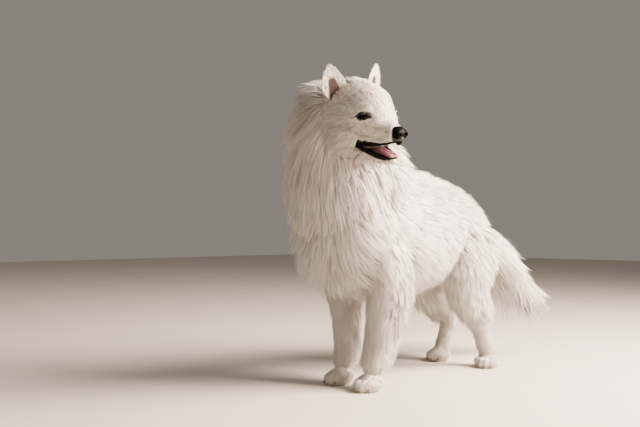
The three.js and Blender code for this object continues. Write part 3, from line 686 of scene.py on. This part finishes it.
# The palate faces down between the upper lips, and the floor of the mouth faces up between the lower ones.
faces_up = out_in_head[:, 2]
palate = (np.abs(hx) < lip_width(UPPER_LIP, hy) + 1) & (hy > 16) & (hz < -14) & (hz > -58)
palate &= faces_up < -0.25
jaw_floor = (np.abs(hx) < lip_width(LOWER_LIP, hy) - 1) & (hy > 32) & (hz < -20) & (hz > -75)
jaw_floor &= faces_up > 0.25
inside = (palate | jaw_floor) & (hy < 136)
mouth = np.clip(evened(inside.astype(float), 2) * 1.4, 0, 1)
# Black skin lines the slits and lies under the nose leather.
rim = np.zeros(len(points))
for side, word in SIDES:
    line = [p + Vector((0, -15, 0)) for p in slit_line(40, 2.5)]
    line = np.array([EYE_AT[word] + slit_turn(side).to_3x3() @ p for p in line])
    close_to = np.sqrt(((in_head[:, None, :] - line[None]) ** 2).sum(2).min(1))
    rim = np.maximum(rim, 1 - between(close_to, 2.6, 5.0))
NOSE_BED_AT, NOSE_BED_HALF = np.array((0, 25, -7)), np.array((18.5, 18, 20))
nose_off = np.linalg.norm((in_head - NOSE_BED_AT) / NOSE_BED_HALF, axis=1)
rim = np.maximum(rim, 1 - between(nose_off, 1.02, 1.12))
# The hollows of the ears are bare, with dark warm skin.
cup = np.zeros(len(points))
for side, word in SIDES:
    base, up, facing = ear_frame(side)
    high, across = ear_high[word], ear_across[word]
    inner = between(out_in_head @ np.array(facing), 0.2, 0.6) * between(high, 0.16, 0.34)
    inner = inner * (1 - between(high, 0.66, 0.84)) * (hy > 120)
    cup = np.maximum(cup, inner * (1 - between(across - (21 * (1.1 - high)), -3, 5)))
cup = np.clip(evened(cup, 4) * 1.4, 0, 1)
NAPE = np.array((0, 245, 30))
NAPE_SPREAD = 62
tint = 0.42 * np.exp(-((in_head - NAPE) ** 2).sum(1) / (2 * NAPE_SPREAD ** 2))
tint = np.maximum(tint, 0.14 * between(hy, 175, 190) * between(hz, 60, 80))
tint = evened(tint, 4)
bare = np.clip(np.maximum(mouth, rim) + cup, 0, 1)

for name, values in (("tint", tint), ("mouth", mouth), ("rim", rim), ("cup", cup)):
    layer = skin.data.attributes.new(name, "FLOAT", "POINT")
    layer.data.foreach_set("value", values.astype(np.float32))


def dress(piece, material):
    """Shades the piece smooth, all in one material."""
    piece.data.shade_smooth()
    piece.data.materials.clear()
    piece.data.materials.append(material)


def marked(material, colour, mark, tone):
    """The colour, with the tone laid over it where the piece's attribute "mark" says."""
    where = add(material, "ShaderNodeAttribute", attribute_name=mark)
    mix = add(material, "ShaderNodeMix", {"Factor": where.outputs["Fac"], "A": colour}, data_type="RGBA")
    mix.inputs["B"].default_value = linear(tone)
    return mix.outputs["Result"]


# Short white hair on pale hide: fine cream speckles, biscuit at the nape, black round the eyes and nose, and
# dark in the mouth and the ears.
BISCUIT = "#b98d60"
MARKS = {"tint": BISCUIT, "cup": "#2a120c", "mouth": "#3a1715", "rim": "#0d0a09"}
hide = finish_of("white_hide")
speckle = pattern(hide, "ShaderNodeTexNoise", 420, Detail=3)
last = between_tones(hide, speckle.outputs["Fac"], "#f3ece2", "#e2d3c0")
for mark, tone in MARKS.items():
    last = marked(hide, last, mark, tone)
bump = add(hide, "ShaderNodeBump", {"Height": speckle.outputs["Fac"]}, Strength=0.35, Distance=0.002)
close(hide, add(hide, "ShaderNodeBsdfPrincipled", {"Base Color": last, "Normal": bump.outputs["Normal"]},
                Roughness=0.62, Subsurface_Weight=0.15, Subsurface_Scale=0.003))
dress(skin, hide)
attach(skin, "root")
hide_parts("torso", "neck", "head", "lower_jaw", "tail", "ear_left", "ear_right",
            "foreleg_left", "foreleg_right", "hindleg_left", "hindleg_right", "hock_left", "hock_right",
            *["paw_" + paw for paw in PAWS])

# Eyes.
# Two glass eyes, as a taxidermist sets them: dark brown irises nearly as dark as the pupils, under a clear
# domed cornea that takes one small bright highlight. They stand as deep as the lids leave them.
glass_eye = finish_of("dark_glass_eye")
iris = add(glass_eye, "ShaderNodeAttribute", attribute_name="iris")
rings = add(glass_eye, "ShaderNodeValToRGB", {"Fac": iris.outputs["Fac"]})
# From the pupil outwards: black, the dark brown iris, its darker rim, and the black of the hidden white.
ramp = rings.color_ramp
ramp.elements[0].color, ramp.elements[0].position = linear("#030202"), 0.3
ramp.elements[1].color, ramp.elements[1].position = linear("#0a0706"), 1.0
for at, code in ((0.34, "#0a0402"), (0.6, "#0f0704"), (0.72, "#030201"), (0.82, "#050302")):
    ramp.elements.new(at).color = linear(code)
IRIS_SPREAD, DOME_SPREAD, DOME_HEIGHT = 0.9, 0.75, 0.07
close(glass_eye, add(glass_eye, "ShaderNodeBsdfPrincipled", {"Base Color": rings.outputs["Color"]},
                     Roughness=0.3, IOR=1.38, Specular_IOR_Level=0.05, Coat_Weight=0.22, Coat_Roughness=0.03))
for side, word in SIDES:
    bm = bmesh.new()
    ball(bm, (0, 0, 0), (EYE_RADIUS,) * 3, (math.pi / 2, 0, 0), (48, 32))
    layer = bm.verts.layers.float.new("iris")
    for v in bm.verts:
        off = math.acos(max(-1, min(1, -v.co.y / EYE_RADIUS)))
        v[layer] = min(off / IRIS_SPREAD, 1)
        v.co *= 1 + DOME_HEIGHT * max(0, 1 - off / DOME_SPREAD) ** 1.5
    look = HEAD_CARRY @ Matrix.Translation(EYE_AT[word]) @ Matrix.Rotation(side * SLIT_SPLAY, 4, "Z")
    eyeball = object_of(bm, "eyeball_" + word, look)
    dress(eyeball, glass_eye)
    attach(eyeball, "root")
    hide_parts("eye_" + word)

# Lid rims.
# The hairless edge of each pair of lids: a thin moist roll of black skin round the slit.
black_skin = finish_of("moist_black_skin")
grain = pattern(black_skin, "ShaderNodeTexNoise", 700, Detail=2)
bump = add(black_skin, "ShaderNodeBump", {"Height": grain.outputs["Fac"]}, Strength=0.3, Distance=0.0006)
close(black_skin, add(black_skin, "ShaderNodeBsdfPrincipled", {"Normal": bump.outputs["Normal"]},
                      Base_Color=linear("#020202"), Roughness=0.4, Specular_IOR_Level=0.1, Coat_Weight=0.04,
                      Coat_Roughness=0.2))
RIM_STEPS = 44
# The roll lies this far from the middle of the eye, over the glass. It is thin at the corners.
RIM_OFF = 19.4
bm = bmesh.new()
for side, word in SIDES:
    line = []
    for p in slit_line(RIM_STEPS, 0.4):
        deep = math.sqrt(max(RIM_OFF ** 2 - p.x ** 2 - p.z ** 2, 30))
        line.append(EYE_AT[word] + slit_turn(side).to_3x3() @ Vector((p.x, -deep, p.z)))
    radii = [1.2 + 1.4 * (1 - abs(1 - 2 * (i / (RIM_STEPS / 2) % 1))) ** 0.5 for i in range(RIM_STEPS)]
    rope(bm, line, [(r, r) for r in radii], True)
rims = object_of(bm, "lid_rims", HEAD_CARRY)
dress(rims, black_skin)
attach(rims, "root")

# Nose.
# The nose leather is a firm black pad with two comma-shaped nostrils and a groove down its middle. Its skin
# is cut by fine furrows into cobbles about 1.3 mm across, and it is a little wet.
leather = finish_of("wet_nose_leather")
cobbles = pattern(leather, "ShaderNodeTexVoronoi", 760)
edge = add(leather, "ShaderNodeBump", {"Height": cobbles.outputs["Distance"]}, invert=True, Strength=0.5,
           Distance=0.0006)
tone = between_tones(leather, cobbles.outputs["Distance"], "#030303", "#010101")
close(leather, add(leather, "ShaderNodeBsdfPrincipled",
                   {"Base Color": tone, "Normal": edge.outputs["Normal"]},
                   Roughness=0.55, Specular_IOR_Level=0.03, Coat_Weight=0.03, Coat_Roughness=0.18))
NOSE_GRAIN = 0.9
# The pad, its two wings and the lip below it, then the nostrils, their slits and the groove that are cut out.
bm = bmesh.new()
ball(bm, (0, 26, -2), (18.5, 18, 16), (0.15, 0, 0))
for side in (1, -1):
    ball(bm, (side * 9.5, 19, -3.5), (10, 13, 11.5))
ball(bm, (0, 22, -18), (9, 9, 12))
nose = melt(object_of(bm, "nose_leather", HEAD_CARRY), NOSE_GRAIN, 6)
bm = bmesh.new()
for side in (1, -1):
    ball(bm, (side * 8.6, 9, -3), (4.2, 8, 3.6), (0, side * 0.5, side * 0.35))
    ball(bm, (side * 15, 15, -6.5), (6, 6, 1.5), (0, side * 0.5, 0))
ball(bm, (0, 7, -12), (0.9, 5, 12), (0.2, 0, 0))
nose = melt(joined(nose, object_of(bm, "nostrils", HEAD_CARRY), "DIFFERENCE"), NOSE_GRAIN, 3)
dress(nose, leather)
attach(nose, "root")
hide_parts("nose")

# Lips and mouth.
# The black edge of the upper lip, the thicker rolled edge of the lower one, and the dark skin that lines
# the cheeks behind them, where the jaws part.
LIP_STEPS = 48
bm = bmesh.new()
for rows, wide, deep, up in ((UPPER_LIP, 2.4, 2.6, 0), (LOWER_LIP, 3.6, 7.0, 1.5)):
    full = [min(1, 0.4 + 0.12 * min(i, LIP_STEPS - i)) for i in range(LIP_STEPS + 1)]
    rope(bm, lip_line(rows, LIP_STEPS, 0, up), [(wide * f, deep * f) for f in full], segments=14)
lips = object_of(bm, "lips", HEAD_CARRY)
dress(lips, black_skin)
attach(lips, "root")

LINING = [(0, 84, -42, 30, 9), (0, 104, -43, 40, 12), (0, 128, -42, 49, 13), (0, 148, -42, 50, 10)]
bm = bmesh.new()
loft(bm, sections(LINING, (0, 0, 1), 0.2, 16), 36)
lining = object_of(bm, "mouth_lining", HEAD_CARRY)
flesh = finish_of("dark_wet_mouth_skin")
folds = pattern(flesh, "ShaderNodeTexNoise", 140, Detail=3)
bump = add(flesh, "ShaderNodeBump", {"Height": folds.outputs["Fac"]}, Strength=0.5, Distance=0.002)
close(flesh, add(flesh, "ShaderNodeBsdfPrincipled", {"Normal": bump.outputs["Normal"]},
                 Base_Color=linear("#2c0f10"), Roughness=0.35, Coat_Weight=0.4))
dress(lining, flesh)
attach(lining, "root")

# Tongue.
# A flat muscle that lies in the lower jaw with its tip behind the front teeth: mauve pink, wet, with a
# groove down its middle and a fine nap of papillae.
tongue_skin = finish_of("wet_tongue")
nap = pattern(tongue_skin, "ShaderNodeTexVoronoi", 900)
blotch = pattern(tongue_skin, "ShaderNodeTexNoise", 120, Detail=3)
tone = between_tones(tongue_skin, blotch.outputs["Fac"], "#6d3f4b", "#8a5866")
bump = add(tongue_skin, "ShaderNodeBump", {"Height": nap.outputs["Distance"]}, Strength=0.35, Distance=0.0005)
close(tongue_skin, add(tongue_skin, "ShaderNodeBsdfPrincipled",
                       {"Base Color": tone, "Normal": bump.outputs["Normal"]},
                       Roughness=0.38, Subsurface_Weight=0.3, Subsurface_Scale=0.003, Coat_Weight=0.4,
                       Coat_Roughness=0.15))
TONGUE = [
    (0, 124, -44, 18, 6), (0, 92, -49, 20, 6.5), (0, 62, -53.5, 19, 6), (0, 42, -55.5, 16.5, 5),
    (0, 31, -58, 12, 4)]


def tongue_section(co):
    """Sinks a groove into the upper side of an oval."""
    return Vector((co.x, co.y - (0.5 * math.exp(-(co.x / 0.3) ** 2) if co.y > 0 else 0), 0))


bm = bmesh.new()
loft(bm, sections(TONGUE, (0, 0, 1), 0.1, 30), 40, tongue_section)
tongue = object_of(bm, "tongue_flesh", HEAD_CARRY)
dress(tongue, tongue_skin)
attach(tongue, "root")
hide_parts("tongue")

# Teeth and claws.
# Ivory cones rooted in the gums, canines longest, with a gloss of enamel; and a worn horn claw at the end
# of each toe.
enamel = finish_of("tooth_enamel")
stain = pattern(enamel, "ShaderNodeTexNoise", 260, Detail=2)
tone = between_tones(enamel, stain.outputs["Fac"], "#efe6d2", "#d9c8a4")
close(enamel, add(enamel, "ShaderNodeBsdfPrincipled", {"Base Color": tone},
                  Roughness=0.22, IOR=1.62, Subsurface_Weight=0.2, Subsurface_Scale=0.002))
# The teeth of one side, the canine first: place across and from the nose tip, height and radius. A tooth
# stands in the gum by its root, leans back and narrows to its point.
TOOTH_ROOT, TOOTH_LEAN = 3, 1.6
TOOTH_TAPER = ((0, 0.9), (0.3, 1), (0.6, 0.75), (0.85, 0.4), (1, 0.12))
UPPER_TEETH = [(15, 38, 14, 3.2), (4, 26, 6, 2.3), (10, 29, 7, 2.4), (20, 58, 8, 3), (24, 74, 9, 3.4)]
LOWER_TEETH = [(12.5, 48, 13, 3), (3.5, 41, 6, 2.2), (8, 43, 6, 2.3), (18, 66, 7, 3), (22, 82, 8, 3.2)]
bm = bmesh.new()
for rows, way in ((UPPER_TEETH, -1), (LOWER_TEETH, 1)):
    for x, y, tall, radius in rows:
        gum = -20 - min(y, 46) * 0.14 if way < 0 else -64 + (y - 40) * 0.06
        for side, word in SIDES:
            made = []
            for share, full in TOOTH_TAPER:
                at = Vector((side * x, y + TOOTH_LEAN * share ** 2, gum + way * (tall * share - TOOTH_ROOT)))
                width = Vector((radius * full, 0, 0))
                depth = Vector((0, radius * full * 1.1 * -way, 0))
                made.append((at, width, depth, Vector((0, 0, way))))
            loft(bm, made, 10)
teeth = object_of(bm, "teeth", HEAD_CARRY)
dress(teeth, enamel)
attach(teeth, "root")

horn = finish_of("worn_claw_horn")
growth = pattern(horn, "ShaderNodeTexNoise", 500, Detail=2)
tone = between_tones(horn, growth.outputs["Fac"], "#5c4a40", "#2f2622")
close(horn, add(horn, "ShaderNodeBsdfPrincipled", {"Base Color": tone}, Roughness=0.4))
# A claw's length, its half-width and half-depth at the toe, the height there and how far it curves down.
CLAW_LENGTH, CLAW_WIDE, CLAW_DEEP, CLAW_HIGH, CLAW_DROP = 7, 2.7, 3.2, 11, 6
CLAW_TAPER = ((0, 1), (0.35, 0.85), (0.7, 0.55), (1, 0.15))
bm = bmesh.new()
for paw in PAWS:
    before = set(bm.verts)
    for step in TOE_STEPS:
        x, y = step * PAW_WIDTH * 0.235, toe_middle(step) - TOE[1] * 0.72
        line = [Vector((x, y - CLAW_LENGTH * share, CLAW_HIGH - CLAW_DROP * share ** 1.6))
                for share, full in CLAW_TAPER]
        rope(bm, line, [(CLAW_WIDE * full, CLAW_DEEP * full) for share, full in CLAW_TAPER], segments=8)
    claws = [v for v in bm.verts if v not in before]
    bmesh.ops.transform(bm, matrix=paw_carry(paw), verts=claws)
claws = object_of(bm, "claws")
dress(claws, horn)
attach(claws, "root")

# Coat.
# A samoyed has a dense woolly undercoat with a long harsh topcoat through it. Both are made as closed,
# flat, tapering tufts that root in the hide, bend over along the lie and draw together into locks at the
# tips; the face, ears and feet carry short smooth hair. Each tuft keeps its root's markings.
draw = np.random.default_rng(11)
skin.data.calc_loop_triangles()
triangles = np.empty(len(skin.data.loop_triangles) * 3, np.int64)
skin.data.loop_triangles.foreach_get("vertices", triangles)
triangles = triangles.reshape(-1, 3)
sides = points[triangles[:, 1:]] - points[triangles[:, :1]]
areas = np.linalg.norm(np.cross(sides[:, 0], sides[:, 1]), axis=1) / 2
# Slow waves through the body, by which the lie drifts from place to place.
WAVES = [np.array(v) for v in ((0.021, 0.013, -0.017), (-0.012, 0.024, 0.011), (0.034, -0.019, 0.027))]
# A tuft is two steps of three corners and a tip. Its root starts this far inside the hide.
TUFT_STEPS, TUFT_FULL, ROOT_SINK = 2, 0.8, 1.5
# This share of the tufts stray from their lock, and draw to it only this much.
STRAY_SHARE, STRAY_PULL = 0.12, 0.25


def roots_for(density, count):
    """Places for the tufts, spread over the hide by its points' density, with the hide's values at each."""
    wanted = areas * density[triangles].mean(1)
    chosen = draw.choice(len(areas), count, p=wanted / wanted.sum())
    a, b = draw.random((2, len(chosen)))
    a, b = np.where(a + b > 1, 1 - a, a), np.where(a + b > 1, 1 - b, b)
    share = np.stack((1 - a - b, a, b), 1)

    def value(field):
        corner = field[triangles[chosen]]
        return (corner * (share[:, :, None] if field.ndim == 2 else share)).sum(1)

    nearest = triangles[chosen, 0]
    return {"at": value(points), "out": unit(value(outs)), "lie": unit(value(flow)), "long": value(length),
            "rise": value(rise), "tint": value(tint), "uv": root_uv[nearest], "region": region_of[nearest]}


def thickness(long):
    """A tuft's width for its length."""
    return 0.8 + 0.021 * long


def tufts(roots, widen, flat, per_lock, clump, wander, round_off):
    """Curves one tuft from each root. Those near a guide draw towards its tip, so that they form a lock."""
    at, out, lie = roots["at"], roots["out"], roots["lie"]
    count = len(at)
    locks = []
    for size in per_lock:
        guides = draw.choice(count, max(count // size, 1), replace=False)
        tree = KDTree(len(guides))
        for number, guide in enumerate(guides):
            tree.insert(at[guide], number)
        tree.balance()
        found = [tree.find(p) for p in at]
        locks.append((guides[np.array([f[1] for f in found])], np.array([f[2] for f in found])))
    guide = locks[0][0]
    own = draw.normal(size=(6, count))
    lock = draw.normal(size=(6, count))[:, guide]
    drift = sum(np.sin(at @ wave + k) for k, wave in enumerate(WAVES)) * 0.13
    side = np.cross(out, lie)
    turned = drift + wander * (0.55 * lock[0] + 0.45 * own[0])
    lie = unit(lie + side * np.clip(turned, -0.8, 0.8)[:, None])
    side = np.cross(out, lie)
    long = roots["long"] * np.clip(1 + 0.12 * lock[1] + 0.1 * own[1], 0.6, 1.3)
    high = roots["rise"] * np.clip(0.97 + 0.09 * lock[2] + 0.1 * own[2], 0.5, 1.12)
    ahead = np.sqrt(np.maximum(long ** 2 - high ** 2, (0.45 * long) ** 2))
    s = np.linspace(0, 1, TUFT_STEPS + 1)[None, :, None]
    line = at[:, None] - out[:, None] * ROOT_SINK + lie[:, None] * ahead[:, None, None] * s
    line = line + out[:, None] * (high + ROOT_SINK)[:, None, None] * (1 - (1 - s) ** 1.8)
    line[:, :, 2:] -= (0.05 * long)[:, None, None] * s ** 2
    line = line + side[:, None] * (0.1 * long * (0.6 * lock[3] + 0.5 * own[3]))[:, None, None] * s ** 2
    stray = np.where(draw.random(count) < STRAY_SHARE, STRAY_PULL, 1)
    for (guide, apart), strength in zip(locks, clump):
        pull = np.clip(strength + 0.14 * own[4], 0, 0.95) * stray * (apart < 3 + 0.3 * roots["long"])
        line = line + (line[guide] - line) * pull[:, None, None] * s ** 1.3
    # No hair reaches into the floor.
    line[:, :, 2] = np.maximum(line[:, :, 2], 1.6)
    run = unit(np.gradient(line, axis=1).reshape(-1, 3)).reshape(line.shape)
    across = unit(np.cross(run.reshape(-1, 3), np.repeat(out, TUFT_STEPS + 1, 0))).reshape(line.shape)
    up = np.cross(run, across)
    twist = (0.5 * own[5])[:, None, None]
    across, up = across * np.cos(twist) + up * np.sin(twist), up * np.cos(twist) - across * np.sin(twist)
    wide = thickness(roots["long"]) * widen * np.clip(1 + 0.2 * draw.normal(size=count), 0.5, 1.5) / 2
    corners = []
    for k in range(TUFT_STEPS):
        for angle in (90, 210, 330):
            c, z = math.cos(math.radians(angle)), math.sin(math.radians(angle))
            radial = across[:, k] * c + up[:, k] * z * flat
            corners.append((line[:, k] + radial * (wide * TUFT_FULL)[:, None], radial))
    corners.append((line[:, -1], run[:, -1]))
    # A random darker cream for each lock and tuft: partly the hair's own cream tone, partly painted shade
    # between the locks.
    lock_shade_and_cream = np.clip(0.5 + 0.2 * lock[5] + 0.14 * own[2], 0, 1)
    tilt = draw.normal(size=(2, count))[:, locks[-1][0]] * (0.09 + 0.06 * between(roots["long"], 15, 60))
    out = out + side * tilt[0][:, None] + lie * tilt[1][:, None]
    return {"at": np.stack([place for place, radial in corners], 1),
            "normal": np.stack([unit(out + unit(radial) * round_off) for place, radial in corners], 1),
            "lock_shade_and_cream": lock_shade_and_cream, "tint": roots["tint"], "uv": roots["uv"], "region": roots["region"]}


# A tuft's faces, as numbers of its corners, and its patch of the map, 0.0028 high and wide.
TUFT_CORNERS = TUFT_STEPS * 3 + 1
TUFT_FACES = [(0, 2, 1)]
for k in range(TUFT_STEPS - 1):
    for c in range(3):
        d = (c + 1) % 3
        TUFT_FACES += [(k * 3 + c, k * 3 + d, k * 3 + 3 + d), (k * 3 + c, k * 3 + 3 + d, k * 3 + 3 + c)]
TUFT_FACES += [(TUFT_CORNERS - 4 + c, TUFT_CORNERS - 4 + (c + 1) % 3, TUFT_CORNERS - 1) for c in range(3)]
PATCH = 0.0028
PATCH_UV = [(c * PATCH / 2, k / TUFT_STEPS * PATCH) for k in range(TUFT_STEPS) for c in range(3)]
PATCH_UV = np.array(PATCH_UV + [(PATCH / 2, PATCH)])
TIP_SHARE = np.array([k / TUFT_STEPS for k in range(TUFT_STEPS) for c in range(3)] + [1])


def coat_piece(name, coat, chosen, finish):
    """One mesh of the chosen tufts, each with its own patch of the map at its root's place."""
    count = len(chosen)
    corner_of = (np.array(TUFT_FACES)[None] + (np.arange(count) * TUFT_CORNERS)[:, None, None]).ravel()
    mesh = bpy.data.meshes.new(name)
    mesh.vertices.add(count * TUFT_CORNERS)
    mesh.loops.add(len(corner_of))
    mesh.polygons.add(len(corner_of) // 3)
    placed = (coat["at"][chosen].reshape(-1, 3) + np.array(SHIFT)) / 1000
    mesh.vertices.foreach_set("co", placed.astype(np.float32).ravel())
    mesh.loops.foreach_set("vertex_index", corner_of.astype(np.int32))
    mesh.polygons.foreach_set("loop_start", np.arange(0, len(corner_of), 3, dtype=np.int32))
    mesh.update(calc_edges=True)
    mesh.shade_smooth()
    spread = (coat["uv"][chosen][:, None] + PATCH_UV[None]).reshape(-1, 2)
    layer = mesh.uv_layers.new(name="OFBake")
    layer.data.foreach_set("uv", spread[corner_of].astype(np.float32).ravel())
    for label, values in (("tint", np.repeat(coat["tint"][chosen], TUFT_CORNERS)),
                          ("lock_shade_and_cream", np.repeat(coat["lock_shade_and_cream"][chosen], TUFT_CORNERS)),
                          ("tip", np.tile(TIP_SHARE, count))):
        mesh.attributes.new(label, "FLOAT", "POINT").data.foreach_set("value", values.astype(np.float32))
    mesh.normals_split_custom_set_from_vertices(coat["normal"][chosen].reshape(-1, 3).tolist())
    mesh.materials.append(finish)
    piece = bpy.data.objects.new(name, mesh)
    bpy.context.scene.collection.objects.link(piece)
    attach(piece, "root")


# White dog's hair, long and dry: soft light passes through each lock, roots are painted a little darker and
# warmer than tips as painted shade deep in the coat, and some locks are painted darker and creamier than
# others, partly their own cream tone and partly painted shade between the locks.
hair = finish_of("white_topcoat")
tip = add(hair, "ShaderNodeAttribute", attribute_name="tip")
# Painted shade deep in the coat: each tuft runs from a darker, warmer root to a paler tip.
colour = between_tones(hair, tip.outputs["Fac"], "#ece1d2", "#faf7f2")
# The darker cream laid on lock by lock is partly the hair's own tone and partly painted shade between the
# locks.
lock_shade_and_cream = add(hair, "ShaderNodeAttribute", attribute_name="lock_shade_and_cream")
half = add(hair, "ShaderNodeMath", {0: lock_shade_and_cream.outputs["Fac"]}, operation="MULTIPLY")
half.inputs[1].default_value = 0.5
cream_and_painted_shade = add(hair, "ShaderNodeMix", {"Factor": half.outputs[0], "A": colour}, data_type="RGBA")
cream_and_painted_shade.inputs["B"].default_value = linear("#d3c2ac")
tinted = marked(hair, cream_and_painted_shade.outputs["Result"], "tint", BISCUIT)
close(hair, add(hair, "ShaderNodeBsdfPrincipled", {"Base Color": tinted},
                Roughness=0.6, IOR=1.45, Specular_IOR_Level=0.3, Subsurface_Weight=0.6,
                Subsurface_Scale=0.01, Subsurface_Radius=(1.0, 0.92, 0.84)))

# Nothing grows where the hide is bare, and the thin tail carries as much hair as a thick limb.
covered = (1 - bare) ** 2 * (1 + 7 * on_tail)
is_long = between(length, 34, 52)
per_area = (4.5 + 27 * between(length, 12, 80)) / (length * thickness(length)) * covered
# Each layer: how many tufts it has, which share of the hide's length and rise of hair they take, how much
# wider they are, their depth for their width, how many share a small and a large lock and how strongly they
# draw together there, how far the lie wanders and how round their shading is.
LAYERS = {
    "topcoat": (per_area * is_long, 80000, (1, 1, 1), 0.35, (8, 50), (0.36, 0.3), 0.17, 0.34),
    "undercoat": (covered * is_long, 18000, (0.62, 0.72, 2.6), 0.4, (6,), (0.4,), 0.22, 0.3),
    "short": (per_area * (1 - is_long), 50000, (1, 1, 1), 0.4, (6, 30), (0.45, 0.3), 0.22, 0.6),
}
# A tuft has ten triangles, so this keeps each piece under 200,000.
TUFTS_PER_PIECE = 19000
FAMILY = {"neck": "ruff", "torso": "body", "tail": "plume", "head": "face", "jaw": "face"}


def family_of(region):
    """The part of the coat that a limb's hair belongs to."""
    if region in FAMILY:
        return FAMILY[region]
    if region.startswith("ear"):
        return "face"
    return "forelegs" if "fore" in region or "front" in region else "hindlegs"


families = np.array([family_of(region) for region in REGIONS])
for layer, (density, count, (longer, higher, wider), *look) in LAYERS.items():
    roots = roots_for(density, count)
    roots["long"] = roots["long"] * longer
    roots["rise"] = roots["rise"] * higher
    coat = tufts(roots, wider, *look)
    named = families[coat["region"]]
    for family in sorted(set(named)):
        own = np.flatnonzero(named == family)
        own = own[np.argsort(coat["at"][own, 0, 0] + coat["at"][own, 0, 1] * 2, kind="stable")]
        for k, part in enumerate(np.array_split(own, math.ceil(len(own) / TUFTS_PER_PIECE))):
            coat_piece(f"{layer}_{family}_{k + 1}", coat, part, hair)
